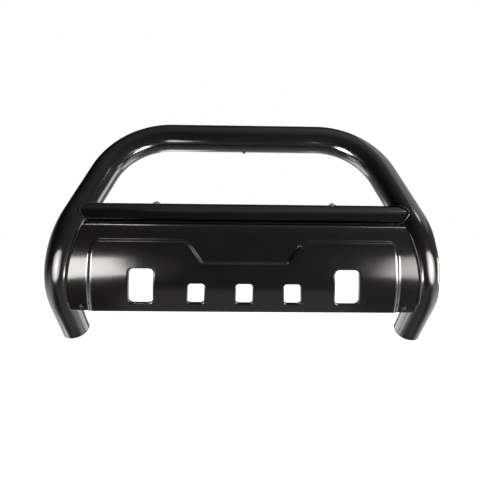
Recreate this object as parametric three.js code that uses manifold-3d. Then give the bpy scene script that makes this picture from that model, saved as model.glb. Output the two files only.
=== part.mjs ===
// Front grille guard (bull bar) for a full-size pickup: a bent steel hoop, a cross tube, a pressed
// skid plate under it, and the ears, brackets and fasteners that carry it on the vehicle frame.
// Millimetres. X runs across the vehicle, Y rearwards and Z up, so the guard's front faces -Y and
// the vehicle's left side is +X. The finished group is centred on its own bounding box.

import * as THREE from 'three';
import { mergeVertices } from 'three/addons/utils/BufferGeometryUtils.js';
import Module from 'manifold-3d';

const wasm = await Module();
wasm.setup();

// ---------------------------------------------------------------- driving dimensions

// Main hoop: the axis of its left half is a bent line foot, knee, corner, then the top bar.
const HOOP_RADIUS = 38.1;
const HOOP_WALL = 2.5;
const FOOT = new THREE.Vector3(474, 142, -253);
const KNEE = new THREE.Vector3(494, 0, -60);
const CORNER = new THREE.Vector3(340, 168, 294);
const KNEE_BEND = 220;
const CORNER_BEND = 195;

// Moulded parts on the hoop: a cap pushed into each foot, and a plug in the top bar's drain hole.
const DRAIN_HOLE = 3.2;
const PLUG = { head: 4.2, dome: 4.4, neckLength: 7, barb: 1.2 };
const CAP = { wall: 3, skirt: 14, thickness: 3.3, rim: 2.2 };

// Cross tube: set forward of the leg axis, so that its front is almost flush with the legs.
const CROSS_RADIUS = 25.4;
const CROSS_WALL = 2;
const CROSS_HEIGHT = 69.5;
const CROSS_FORWARD = 11;

// Skid plate: sheet rolled to one arc, its top curled back into a flange under the cross tube.
const SHEET = 3;
const ROLL = 255;
const NOSE_Y = 12.5;
const NOSE_Z = -45;
const CURL = 12;
const FLANGE_REAR = 56;
const PLATE_BOTTOM = -189.5;
const EDGE_INSET = 9;

// Raised centre panel, with a dip in the middle of its top edge.
const PANEL_RISE = 8;
const PANEL_TOP = -7;
const PANEL_TOP_HALF = 382;
const PANEL_BOTTOM_HALF = 398;
const DIP_BOTTOM = -63;
const DIP_TOP_HALF = 151;
const DIP_BOTTOM_HALF = 110;
const PANEL_CORNER = 16;
const BELOW_PLATE = 20;

// Cutouts: sizes are measured along the sheet; their lower edges share one angle round the roll.
const CUTOUT_LOW_ANGLE = THREE.MathUtils.degToRad(27.4);
const CUTOUT_RAKE = 0.07;
const LIP_DEPTH = 10;
const LARGE_CUTOUT = { width: 62, tall: 95, corner: 12 };
const SMALL_CUTOUT = { width: 42, tall: 56, corner: 8 };
const LARGE_OFFSET = 266;
const SMALL_PITCH = 125;

// Weld beads: the side seams' ends, and how far a bead's middle stands off the tube it runs round.
const BEAD = 3.5;
const BEAD_LIFT = 0.6;
const SEAM_TOP = 24;
const SEAM_BOTTOM = -168;
const TOP_BEAD_HEIGHT = 2;
const END_BEAD_OPENING = 12;

// Mounting ears on the backs of the legs, and the frame brackets bolted to them.
const PLATE_STOCK = 6;
const EAR_X = 452;
const EAR_TOP = -74;
const EAR_BOTTOM = -188;
const EAR_REAR = 214;
const EAR_CORNER = 14;
const EAR_BITE = 8;
const EAR_WELD_MARGIN = 9;
const BRACKET_FRONT = 132;
const BRACKET_REAR = 300;
const BRACKET_INNER_X = 390;
const BRACKET_CORNER = 4;
const BOLT_SLOT_REACH = 7;
const FRAME_SLOT = { reach: 8, inset: 26 };
const GUSSET = { inset: 6, reach: 62, thickness: 5 };
const MOUNT_BOLTS = [
  { name: 'upper_mount', y: 156, z: -100 },
  { name: 'lower_mount', y: 190, z: -158 },
];
const M12 = { shank: 6, hole: 6.8, head: 10.4, headHeight: 7.5, nutHeight: 10.5, washer: 12, washerHeight: 2.5 };

// Corner screws of the skid plate, and the light mounting points on the cross tube.
const SKID_SCREW_X = 426;
const SKID_SCREW_Z = -177;
const M6 = { shank: 3, hole: 3.5, head: 5.3, headHeight: 3.3, nut: 5.6, nutHeight: 6, washer: 6.4, washerHeight: 1.5 };
const TAB_HALF = 15;
const TAB_THICKNESS = 4;
const TAB_CORNER = 5;
const THREAD_SHOWN = 6;
const LIGHT_X = 232;
const INSERT = { flange: 10, flangeHeight: 1.6, barrel: 6.5, barrelDepth: 14, bore: 4.3 };
const M8 = { shank: 4, head: 7.2, headHeight: 4.4, length: 18 };

// Clearance kept between pieces that touch on the real object, how far cutting shapes run past
// what they cut, and the steps of round and bent shapes.
const GAP = 0.3;
const PAST = 20;
const HOOP_SIDES = 24;
const CROSS_SIDES = 20;
const BEAD_SIDES = 8;
const BEND_STEPS = 8;
const ROLL_STEPS = 11;
const CURL_STEPS = 3;

// ---------------------------------------------------------------- materials

function finish(name, color, roughness, metalness) {
  return new THREE.MeshStandardMaterial({ name, color, roughness, metalness });
}

const COAT = finish('gloss_black_coat', 0x0b0b0c, 0.2, 0.1);
const SATIN = finish('satin_black_coat', 0x161617, 0.5, 0.1);
const BLACK_STEEL = finish('black_hardware', 0x1b1b1c, 0.4, 0.8);
const ZINC = finish('zinc_hardware', 0x9a9c9e, 0.35, 1);
const PLASTIC = finish('black_plastic', 0x101010, 0.7, 0);

// ---------------------------------------------------------------- solids and booleans

function toSolid(geometry) {
  const bare = geometry.clone();
  bare.deleteAttribute('normal');
  bare.deleteAttribute('uv');
  const merged = mergeVertices(bare, 1e-4);
  const vertProperties = new Float32Array(merged.attributes.position.array);
  const triVerts = new Uint32Array(merged.index.array);
  return new wasm.Manifold(new wasm.Mesh({ numProp: 3, vertProperties, triVerts }));
}

function toGeometry(solid) {
  const { vertProperties, triVerts } = solid.getMesh();
  const geometry = new THREE.BufferGeometry();
  geometry.setAttribute('position', new THREE.BufferAttribute(vertProperties, 3));
  geometry.setIndex(new THREE.BufferAttribute(triVerts, 1));
  geometry.computeVertexNormals();
  return geometry;
}

// The main body that is left when a cut has also left crumbs beyond its neighbour.
function largestBody(solid) {
  return solid.decompose().reduce((a, b) => (a.volume() > b.volume() ? a : b));
}

function mirrored(geometry) {
  const copy = geometry.clone().scale(-1, 1, 1);
  const index = copy.index.array;
  for (let i = 0; i < index.length; i += 3) {
    [index[i], index[i + 1]] = [index[i + 1], index[i]];
  }
  copy.computeVertexNormals();
  return copy;
}

// ---------------------------------------------------------------- paths

class PolylinePath extends THREE.Curve {
  constructor(points) {
    super();
    this.points = points;
    this.steps = points.length - 1;
  }

  getPoint(t) {
    const place = Math.min(Math.max(t, 0), 1) * this.steps;
    const index = Math.min(Math.floor(place), this.steps - 1);
    return this.points[index].clone().lerp(this.points[index + 1], place - index);
  }

  // Points are taken as they are given, so that bends get more of them than straights.
  getUtoTmapping(u) {
    return u;
  }
}

function bendPoints(before, vertex, after, radius) {
  const u = before.clone().sub(vertex).normalize();
  const v = after.clone().sub(vertex).normalize();
  const half = u.angleTo(v) / 2;
  const centre = u.clone().add(v).normalize().multiplyScalar(radius / Math.sin(half)).add(vertex);
  const start = vertex.clone().addScaledVector(u, radius / Math.tan(half)).sub(centre);
  const end = vertex.clone().addScaledVector(v, radius / Math.tan(half)).sub(centre);
  const turn = start.angleTo(end);
  return Array.from({ length: BEND_STEPS + 1 }, (_, i) => {
    const s = i / BEND_STEPS;
    const point = centre.clone().addScaledVector(start, Math.sin((1 - s) * turn) / Math.sin(turn));
    return point.addScaledVector(end, Math.sin(s * turn) / Math.sin(turn));
  });
}

// Axis of the hoop's left half, foot first, as far as the start of the straight top bar.
const TOP_MIDDLE = new THREE.Vector3(0, CORNER.y, CORNER.z);
const HALF_AXIS = [
  FOOT,
  ...bendPoints(FOOT, KNEE, CORNER, KNEE_BEND),
  ...bendPoints(KNEE, CORNER, TOP_MIDDLE, CORNER_BEND),
];
const HOOP_AXIS = [...HALF_AXIS, ...HALF_AXIS.map((p) => new THREE.Vector3(-p.x, p.y, p.z)).reverse()];

function legAxisAt(z) {
  const index = HALF_AXIS.findIndex((p) => p.z >= z);
  const low = HALF_AXIS[index - 1];
  const high = HALF_AXIS[index];
  return low.clone().lerp(high, (z - low.z) / (high.z - low.z));
}

function distanceToLegAxis(point) {
  const nearest = new THREE.Vector3();
  const distances = HALF_AXIS.slice(1).map((end, i) => {
    new THREE.Line3(HALF_AXIS[i], end).closestPointToPoint(point, true, nearest);
    return nearest.distanceTo(point);
  });
  return Math.min(...distances);
}

// Where the way from a point outside the left leg to a point inside it meets the leg's surface.
function legSurface(outside, inside) {
  const halvings = 24;
  const from = outside.clone();
  const to = inside.clone();
  for (let i = 0; i < halvings; i += 1) {
    const middle = from.clone().lerp(to, 0.5);
    if (distanceToLegAxis(middle) > HOOP_RADIUS) from.copy(middle);
    else to.copy(middle);
  }
  return from;
}

// ---------------------------------------------------------------- basic shapes

function circle(radius, hole = 0) {
  const shape = new THREE.Shape().absarc(0, 0, radius, 0, 2 * Math.PI);
  if (hole > 0) shape.holes.push(new THREE.Path().absarc(0, 0, hole, 0, 2 * Math.PI, true));
  return shape;
}

function hexagon(cornerRadius, hole) {
  const corners = Array.from({ length: 6 }, (_, i) => {
    const angle = (i * Math.PI) / 3;
    return new THREE.Vector2(cornerRadius * Math.cos(angle), cornerRadius * Math.sin(angle));
  });
  const shape = new THREE.Shape(corners);
  if (hole > 0) shape.holes.push(new THREE.Path().absarc(0, 0, hole, 0, 2 * Math.PI, true));
  return shape;
}

// A closed outline through corner points, each corner eased by the same radius.
function easedOutline(points, radius) {
  const shape = new THREE.Shape();
  points.forEach((corner, i) => {
    const before = points[(i + points.length - 1) % points.length];
    const after = points[(i + 1) % points.length];
    const start = corner.clone().add(before.clone().sub(corner).setLength(radius));
    const end = corner.clone().add(after.clone().sub(corner).setLength(radius));
    if (i === 0) shape.moveTo(start.x, start.y);
    else shape.lineTo(start.x, start.y);
    shape.quadraticCurveTo(corner.x, corner.y, end.x, end.y);
  });
  shape.closePath();
  return shape;
}

const pairs = (list) => list.map(([x, y]) => new THREE.Vector2(x, y));

// Outlines are drawn in two axes and pushed along the third, between two planes.
function extrudeTo(shape, from, to, basis, curveSegments) {
  const geometry = new THREE.ExtrudeGeometry(shape, { depth: to - from, curveSegments, bevelEnabled: false });
  return geometry.translate(0, 0, from).applyMatrix4(new THREE.Matrix4().makeBasis(...basis));
}

const AXIS_X = new THREE.Vector3(1, 0, 0);
const AXIS_Y = new THREE.Vector3(0, 1, 0);
const AXIS_Z = new THREE.Vector3(0, 0, 1);

function alongX(shape, from, to, curveSegments = 4) {
  return extrudeTo(shape, from, to, [AXIS_Y, AXIS_Z, AXIS_X], curveSegments);
}

function alongY(shape, from, to, curveSegments = 3) {
  return extrudeTo(shape, -to, -from, [AXIS_X, AXIS_Z, AXIS_Y.clone().negate()], curveSegments);
}

function alongZ(shape, from, to, curveSegments = 4) {
  return extrudeTo(shape, from, to, [AXIS_X, AXIS_Y, AXIS_Z], curveSegments);
}

function sweep(shape, points, sides) {
  const extrudePath = new PolylinePath(points);
  const settings = { steps: extrudePath.steps, curveSegments: sides / 2, extrudePath };
  return new THREE.ExtrudeGeometry(shape, settings);
}

// ---------------------------------------------------------------- hoop, caps and plug

const HOOP_ENVELOPE = toSolid(sweep(circle(HOOP_RADIUS + GAP), HOOP_AXIS, HOOP_SIDES));

function mainHoop() {
  const tube = toSolid(sweep(circle(HOOP_RADIUS, HOOP_RADIUS - HOOP_WALL), HOOP_AXIS, HOOP_SIDES));
  const under = CORNER.z - HOOP_RADIUS;
  const drain = alongZ(circle(DRAIN_HOLE), under - HOOP_WALL, under + 2 * HOOP_WALL, 6);
  return toGeometry(tube.subtract(toSolid(drain.translate(0, CORNER.y, 0))));
}

// A pushed-in cap: a disc over the cut end of the leg and a skirt inside the tube. +Y points out.
function footCap() {
  const outer = HOOP_RADIUS - 2 * GAP;
  const bore = HOOP_RADIUS - HOOP_WALL - 2 * GAP;
  const profile = pairs([
    [0, GAP],
    [bore - CAP.wall, GAP],
    [bore - CAP.wall, -CAP.skirt],
    [bore, -CAP.skirt],
    [bore, GAP],
    [outer, GAP],
    [outer, CAP.rim],
    [outer - CAP.rim, CAP.thickness],
    [0, CAP.thickness],
  ]);
  return new THREE.LatheGeometry(profile, 20);
}

// A snap-in plug for the drain hole. +Y points out of the tube, and 0 is the tube's surface.
function drainPlug() {
  const neck = DRAIN_HOLE - GAP;
  const profile = pairs([
    [0, -PLUG.neckLength],
    [neck - PLUG.barb, -PLUG.neckLength],
    [neck, -PLUG.neckLength + 2 * PLUG.barb],
    [neck, GAP],
    [PLUG.head, GAP],
    [0.95 * PLUG.head, 0.6 * PLUG.dome],
    [0.6 * PLUG.head, 0.9 * PLUG.dome],
    [0, PLUG.dome],
  ]);
  return new THREE.LatheGeometry(profile, 12);
}

// ---------------------------------------------------------------- cross tube

const CROSS_AXIS = legAxisAt(CROSS_HEIGHT);
const CROSS_Y = CROSS_AXIS.y - CROSS_FORWARD;

function crossCylinder(shape) {
  const tube = alongX(shape, -CROSS_AXIS.x, CROSS_AXIS.x, CROSS_SIDES / 2);
  return toSolid(tube.translate(0, CROSS_Y, CROSS_HEIGHT));
}

const CROSS_ENVELOPE = crossCylinder(circle(CROSS_RADIUS + GAP));

function crossTube() {
  let tube = crossCylinder(circle(CROSS_RADIUS, CROSS_RADIUS - CROSS_WALL)).subtract(HOOP_ENVELOPE);
  for (const x of [-LIGHT_X, LIGHT_X]) {
    const hole = alongZ(circle(INSERT.barrel + GAP), CROSS_HEIGHT, CROSS_HEIGHT + 2 * CROSS_RADIUS, 8);
    tube = tube.subtract(toSolid(hole.translate(x, CROSS_Y, 0)));
  }
  return toGeometry(largestBody(tube));
}

// ---------------------------------------------------------------- skid plate

const ROLL_Y = NOSE_Y + ROLL;
const FLANGE_TOP = CROSS_HEIGHT - CROSS_RADIUS - GAP;
const CURL_Z = FLANGE_TOP - CURL;
const CURL_ANGLE = Math.asin((CURL_Z - NOSE_Z) / (ROLL - CURL));
const CURL_Y = ROLL_Y - (ROLL - CURL) * Math.cos(CURL_ANGLE);

// Side view of the sheet at an offset in front of its front face, from the bottom to the flange's end.
function sheetLine(offset) {
  const lowAngle = Math.asin((PLATE_BOTTOM - BELOW_PLATE - NOSE_Z) / ROLL);
  const line = [];
  for (let i = 0; i <= ROLL_STEPS; i += 1) {
    const angle = lowAngle + ((CURL_ANGLE - lowAngle) * i) / ROLL_STEPS;
    const radius = ROLL + offset;
    line.push([ROLL_Y - radius * Math.cos(angle), NOSE_Z + radius * Math.sin(angle)]);
  }
  for (let i = 1; i <= CURL_STEPS; i += 1) {
    const angle = CURL_ANGLE + ((Math.PI / 2 - CURL_ANGLE) * i) / CURL_STEPS;
    const radius = CURL + offset;
    line.push([CURL_Y - radius * Math.cos(angle), CURL_Z + radius * Math.sin(angle)]);
  }
  line.push([FLANGE_REAR, FLANGE_TOP + offset]);
  return line;
}

// Curved slab across the whole width between two offsets from the sheet's front face.
function band(front, back) {
  const outline = [...sheetLine(front), ...sheetLine(back).reverse()];
  return toSolid(alongX(new THREE.Shape(pairs(outline)), -KNEE.x, KNEE.x));
}

// A front-view outline pushed through the whole depth of the plate.
function prism(shape, curveSegments) {
  return toSolid(alongY(shape, NOSE_Y - PAST, ROLL_Y, curveSegments));
}

// Front view of the plate: its sides follow the legs, and the bottom is cut straight.
function plateOutline() {
  const steps = 10;
  const top = CROSS_HEIGHT;
  const side = Array.from({ length: steps + 1 }, (_, i) => {
    const z = PLATE_BOTTOM + ((top - PLATE_BOTTOM) * i) / steps;
    return [legAxisAt(z).x - EDGE_INSET, z];
  });
  const otherSide = side.map(([x, z]) => [-x, z]).reverse();
  return new THREE.Shape(pairs([...side, ...otherSide]));
}

function panelOutline(inset) {
  const low = PLATE_BOTTOM - BELOW_PLATE;
  const side = [
    [PANEL_BOTTOM_HALF - inset, low],
    [PANEL_TOP_HALF - inset, PANEL_TOP - inset],
    [DIP_TOP_HALF + inset, PANEL_TOP - inset],
    [DIP_BOTTOM_HALF + inset, DIP_BOTTOM - inset],
  ];
  const otherSide = side.map(([x, z]) => [-x, z]).reverse();
  return easedOutline(pairs([...side, ...otherSide]), PANEL_CORNER - inset);
}

function cutoutOutline({ width, tall, corner }, across, grow) {
  const lean = -Math.sign(across) * CUTOUT_RAKE;
  const halfWidth = width / 2 + grow;
  const halfTall = tall / 2 + grow;
  const points = pairs([
    [across + halfWidth - lean * halfTall, -halfTall],
    [across + halfWidth + lean * halfTall, halfTall],
    [across - halfWidth + lean * halfTall, halfTall],
    [across - halfWidth - lean * halfTall, -halfTall],
  ]);
  return easedOutline(points, corner + grow);
}

// A cutout's prism stands square to the rolled sheet, with its lower edge at the shared angle.
function cutoutPrism(cutout, across, grow) {
  const radius = ROLL + PANEL_RISE;
  const tilt = CUTOUT_LOW_ANGLE - Math.asin(cutout.tall / 2 / radius);
  const geometry = alongY(cutoutOutline(cutout, across, grow), -radius - PAST, -radius + 2 * PAST);
  return toSolid(geometry.rotateX(tilt).translate(0, ROLL_Y, NOSE_Z));
}

const CUTOUTS = [
  { cutout: LARGE_CUTOUT, across: -LARGE_OFFSET },
  { cutout: SMALL_CUTOUT, across: -SMALL_PITCH },
  { cutout: SMALL_CUTOUT, across: 0 },
  { cutout: SMALL_CUTOUT, across: SMALL_PITCH },
  { cutout: LARGE_CUTOUT, across: LARGE_OFFSET },
];

// Frame of a corner screw: its seat on the sheet's front face, and the way out of it.
function skidScrewSeat(x) {
  const angle = Math.asin((SKID_SCREW_Z - NOSE_Z) / ROLL);
  const outward = new THREE.Vector3(0, -Math.cos(angle), Math.sin(angle));
  const seat = outward.clone().multiplyScalar(ROLL).add(new THREE.Vector3(x, ROLL_Y, NOSE_Z));
  return { seat, outward };
}

function screwHole(x, radius) {
  const { seat, outward } = skidScrewSeat(x);
  const geometry = new THREE.CylinderGeometry(radius, radius, 2 * PAST, 12);
  geometry.applyQuaternion(new THREE.Quaternion().setFromUnitVectors(AXIS_Y, outward));
  return toSolid(geometry.translate(seat.x, seat.y, seat.z));
}

function skidPlate() {
  const outline = prism(plateOutline());
  const raised = prism(panelOutline(0), 5);
  const hollow = prism(panelOutline(SHEET), 5);
  const base = band(0, -SHEET).intersect(outline).subtract(hollow);
  const panel = band(PANEL_RISE, PANEL_RISE - SHEET).intersect(raised).intersect(outline);
  const step = band(PANEL_RISE, -SHEET).intersect(raised.subtract(hollow)).intersect(outline);
  let plate = base.add(panel).add(step);
  const lipBand = band(PANEL_RISE, PANEL_RISE - LIP_DEPTH);
  for (const { cutout, across } of CUTOUTS) {
    const through = cutoutPrism(cutout, across, 0);
    const lip = cutoutPrism(cutout, across, SHEET).subtract(through).intersect(lipBand);
    plate = plate.subtract(through).add(lip);
  }
  for (const x of [-SKID_SCREW_X, SKID_SCREW_X]) plate = plate.subtract(screwHole(x, M6.hole));
  return toGeometry(largestBody(plate.subtract(HOOP_ENVELOPE)));
}

const SHEET_ENVELOPE = band(GAP, -SHEET - GAP);

// The bead between the plate's left edge and the leg, on the front.
function skidPlateWeld() {
  const steps = 20;
  const points = Array.from({ length: steps + 1 }, (_, i) => {
    const z = SEAM_BOTTOM + ((SEAM_TOP - SEAM_BOTTOM) * i) / steps;
    const y = ROLL_Y - Math.sqrt((ROLL + 1) ** 2 - (z - NOSE_Z) ** 2);
    return legSurface(new THREE.Vector3(LIGHT_X, y, z), new THREE.Vector3(legAxisAt(z).x, y, z));
  });
  const bead = toSolid(sweep(circle(BEAD), points, BEAD_SIDES));
  return toGeometry(largestBody(bead.subtract(HOOP_ENVELOPE).subtract(SHEET_ENVELOPE)));
}

// The bead round the left end of the cross tube, open for a few degrees at the back.
function crossTubeWeld() {
  const steps = 30;
  const points = Array.from({ length: steps + 1 }, (_, i) => {
    const turn = END_BEAD_OPENING / 2 + ((360 - END_BEAD_OPENING) * i) / steps;
    const angle = THREE.MathUtils.degToRad(turn);
    const y = CROSS_Y + (CROSS_RADIUS + BEAD_LIFT) * Math.cos(angle);
    const z = CROSS_HEIGHT + (CROSS_RADIUS + BEAD_LIFT) * Math.sin(angle);
    const inside = new THREE.Vector3(legAxisAt(z).x, y, z);
    const surface = legSurface(new THREE.Vector3(LIGHT_X, y, z), inside);
    return surface.add(new THREE.Vector3(-BEAD_LIFT, 0, 0));
  });
  const bead = toSolid(sweep(circle(BEAD), points, BEAD_SIDES));
  const cut = bead.subtract(HOOP_ENVELOPE).subtract(CROSS_ENVELOPE).subtract(SHEET_ENVELOPE);
  return toGeometry(largestBody(cut));
}

// The bead in the groove between the plate's flange and the cross tube.
function topWeld() {
  const bead = alongX(circle(BEAD), -CROSS_AXIS.x, CROSS_AXIS.x);
  const z = FLANGE_TOP + TOP_BEAD_HEIGHT;
  bead.translate(0, CROSS_Y - Math.sqrt((CROSS_RADIUS + BEAD_LIFT) ** 2 - (CROSS_HEIGHT - z) ** 2), z);
  const cut = toSolid(bead).subtract(CROSS_ENVELOPE).subtract(SHEET_ENVELOPE);
  const endClearance = toSolid(sweep(circle(HOOP_RADIUS + 2 * BEAD), HOOP_AXIS, HOOP_SIDES));
  return toGeometry(largestBody(cut.subtract(endClearance)));
}

// ---------------------------------------------------------------- skid plate corner fixings

// The flat tab stands off the hollow back of the rolled sheet by the sheet's sagitta.
const TAB_SEAT = SHEET + GAP + TAB_HALF ** 2 / (2 * (ROLL - SHEET));

// A tab behind the plate's lower corner, welded to the leg, that takes the corner screw's nut.
function skidTab() {
  const { seat, outward } = skidScrewSeat(SKID_SCREW_X);
  const reach = legAxisAt(SKID_SCREW_Z).x - SKID_SCREW_X;
  const outline = pairs([[-TAB_HALF, -TAB_HALF], [reach, -TAB_HALF], [reach, TAB_HALF], [-TAB_HALF, TAB_HALF]]);
  const tab = alongY(easedOutline(outline, TAB_CORNER), TAB_SEAT, TAB_SEAT + TAB_THICKNESS);
  tab.applyQuaternion(new THREE.Quaternion().setFromUnitVectors(AXIS_Y.clone().negate(), outward));
  const placed = toSolid(tab.translate(seat.x, seat.y, seat.z));
  return toGeometry(largestBody(placed.subtract(HOOP_ENVELOPE).subtract(screwHole(SKID_SCREW_X, M6.hole))));
}

// ---------------------------------------------------------------- fasteners, all with +Y out of the joint

// A button-head screw with the underside of its head at 0.
function buttonScrew({ shank, head, headHeight }, length) {
  const chamfer = 0.25 * shank;
  const profile = pairs([
    [0, -length],
    [shank - chamfer, -length],
    [shank, chamfer - length],
    [shank, 0],
    [head, 0],
    [head, 0.35 * headHeight],
    [0.8 * head, 0.8 * headHeight],
    [0.5 * head, headHeight],
    [0, headHeight],
  ]);
  return new THREE.LatheGeometry(profile, 14);
}

function hexBolt({ shank, head, headHeight }, length) {
  const inHead = 1;
  const top = new THREE.CylinderGeometry(head, head, headHeight, 6).translate(0, headHeight / 2, 0);
  const stem = new THREE.CylinderGeometry(shank, shank, length + inHead, 16);
  return toGeometry(toSolid(top).add(toSolid(stem.translate(0, (inHead - length) / 2, 0))));
}

function flatRing(shape, height) {
  return alongY(shape, 0, height, 7);
}

const washer = ({ washer: radius, washerHeight, hole }) => flatRing(circle(radius, hole), washerHeight);
const nut = (radius, height, hole) => flatRing(hexagon(radius, hole), height);

// A flanged threaded insert in the top of the cross tube, its flange resting on the tube at 0.
function rivetNut() {
  const { flange, flangeHeight, barrel, barrelDepth, bore } = INSERT;
  const profile = pairs([
    [bore, -barrelDepth],
    [barrel, -barrelDepth],
    [barrel, GAP],
    [flange, GAP],
    [flange, flangeHeight],
    [bore, flangeHeight],
    [bore, -barrelDepth],
  ]);
  return new THREE.LatheGeometry(profile, 14);
}

// ---------------------------------------------------------------- mounting ear and frame bracket

const EAR_OUTER_X = EAR_X + PLATE_STOCK;
const BRACKET_OUTER_X = EAR_X - GAP;
const WALL_INNER_X = BRACKET_OUTER_X - PLATE_STOCK;
const FRAME_SLOT_X = (BRACKET_INNER_X + WALL_INNER_X) / 2;
const FRAME_SLOT_HEIGHTS = [EAR_TOP - FRAME_SLOT.inset, EAR_BOTTOM + FRAME_SLOT.inset];

// A round-ended slot for an M12 bolt, reaching as far to each side of its middle.
function slotShape(reach) {
  const slot = new THREE.Shape().absarc(reach, 0, M12.hole, -Math.PI / 2, Math.PI / 2);
  return slot.absarc(-reach, 0, M12.hole, Math.PI / 2, (3 * Math.PI) / 2);
}

function boltCutters(shape) {
  return MOUNT_BOLTS.map(({ y, z }) => {
    return toSolid(alongX(shape, WALL_INNER_X - PAST, EAR_OUTER_X + PAST, 6).translate(0, y, z));
  });
}

function earEnvelope() {
  const outline = pairs([[0, EAR_BOTTOM], [EAR_REAR, EAR_BOTTOM], [EAR_REAR, EAR_TOP], [0, EAR_TOP]]);
  return toSolid(alongX(new THREE.Shape(outline), EAR_X - 2 * BEAD, EAR_OUTER_X + GAP));
}

// Flat plate whose front edge is coped to the back of the left leg.
function mountEar() {
  const outline = pairs([
    [legAxisAt(EAR_BOTTOM).y + EAR_BITE, EAR_BOTTOM],
    [EAR_REAR, EAR_BOTTOM],
    [EAR_REAR, EAR_TOP],
    [legAxisAt(EAR_TOP).y + EAR_BITE, EAR_TOP],
  ]);
  const blank = toSolid(alongX(easedOutline(outline, EAR_CORNER), EAR_X, EAR_OUTER_X));
  let ear = blank.subtract(HOOP_ENVELOPE);
  for (const hole of boltCutters(circle(M12.hole))) ear = ear.subtract(hole);
  return toGeometry(largestBody(ear));
}

// The bead along the outer face of the ear, where it meets the leg.
function earWeld() {
  const steps = 10;
  const low = EAR_BOTTOM + EAR_WELD_MARGIN;
  const high = EAR_TOP - EAR_WELD_MARGIN;
  const points = Array.from({ length: steps + 1 }, (_, i) => {
    const z = low + ((high - low) * i) / steps;
    const outside = new THREE.Vector3(EAR_OUTER_X, EAR_REAR, z);
    return legSurface(outside, new THREE.Vector3(EAR_OUTER_X, legAxisAt(z).y, z));
  });
  const bead = toSolid(sweep(circle(BEAD), points, BEAD_SIDES));
  return toGeometry(largestBody(bead.subtract(HOOP_ENVELOPE).subtract(earEnvelope())));
}

// Angle bracket: a side wall against the ear, and a rear face with two slots for the vehicle frame.
function frameBracket() {
  const wallOutline = pairs([
    [BRACKET_FRONT, EAR_BOTTOM],
    [BRACKET_REAR, EAR_BOTTOM],
    [BRACKET_REAR, EAR_TOP],
    [BRACKET_FRONT, EAR_TOP],
  ]);
  const wall = toSolid(alongX(easedOutline(wallOutline, BRACKET_CORNER), WALL_INNER_X, BRACKET_OUTER_X));
  const faceOutline = pairs([
    [BRACKET_INNER_X, EAR_BOTTOM],
    [BRACKET_OUTER_X, EAR_BOTTOM],
    [BRACKET_OUTER_X, EAR_TOP],
    [BRACKET_INNER_X, EAR_TOP],
  ]);
  const faceFront = BRACKET_REAR - PLATE_STOCK;
  const face = toSolid(alongY(easedOutline(faceOutline, BRACKET_CORNER), faceFront, BRACKET_REAR));
  let bracket = wall.add(face);
  for (const slot of boltCutters(slotShape(BOLT_SLOT_REACH))) bracket = bracket.subtract(slot);
  for (const z of FRAME_SLOT_HEIGHTS) {
    const cutter = alongY(slotShape(FRAME_SLOT.reach), BRACKET_REAR - PAST, BRACKET_REAR + PAST, 6);
    bracket = bracket.subtract(toSolid(cutter.translate(FRAME_SLOT_X, 0, z)));
  }
  return toGeometry(bracket);
}

// Triangular rib in the angle of the bracket.
function bracketGusset() {
  const corner = [WALL_INNER_X - GAP, BRACKET_REAR - PLATE_STOCK - GAP];
  const alongFace = [BRACKET_INNER_X + GUSSET.inset, corner[1]];
  const alongWall = [corner[0], corner[1] - GUSSET.reach];
  const low = (EAR_TOP + EAR_BOTTOM - GUSSET.thickness) / 2;
  return alongZ(new THREE.Shape(pairs([corner, alongFace, alongWall])), low, low + GUSSET.thickness);
}

// ---------------------------------------------------------------- assembly

const guard = new THREE.Group();

function addPiece(name, geometry, material) {
  const mesh = new THREE.Mesh(geometry, material);
  mesh.name = name;
  guard.add(mesh);
  return mesh;
}

// Adds a piece whose +Y axis is turned to a direction, with its origin at a point.
function addFixing(name, geometry, material, point, direction) {
  const mesh = addPiece(name, geometry, material);
  mesh.quaternion.setFromUnitVectors(AXIS_Y, direction);
  mesh.position.copy(point);
}

const LEG_PIECES = [
  ['cross_tube_weld', crossTubeWeld(), COAT],
  ['skid_plate_weld', skidPlateWeld(), COAT],
  ['mount_ear', mountEar(), COAT],
  ['ear_weld', earWeld(), COAT],
  ['skid_tab', skidTab(), COAT],
  ['frame_bracket', frameBracket(), SATIN],
  ['bracket_gusset', toGeometry(toSolid(bracketGusset())), SATIN],
];

function addLegPieces(prefix, side) {
  for (const [name, geometry, material] of LEG_PIECES) {
    addPiece(`${prefix}_${name}`, side > 0 ? geometry : mirrored(geometry), material);
  }
}

function addFootCap(prefix, side) {
  const out = FOOT.clone().sub(KNEE).normalize();
  const flip = new THREE.Vector3(side, 1, 1);
  addFixing(`${prefix}_foot_cap`, footCap(), PLASTIC, FOOT.clone().multiply(flip), out.multiply(flip));
}

function addLightMount(prefix, side) {
  const seat = new THREE.Vector3(side * LIGHT_X, CROSS_Y, CROSS_HEIGHT + CROSS_RADIUS);
  addFixing(`${prefix}_light_rivet_nut`, rivetNut(), ZINC, seat, AXIS_Z);
  const head = seat.clone().addScaledVector(AXIS_Z, INSERT.flangeHeight + GAP);
  addFixing(`${prefix}_light_screw`, buttonScrew(M8, M8.length), BLACK_STEEL, head, AXIS_Z);
}

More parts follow.
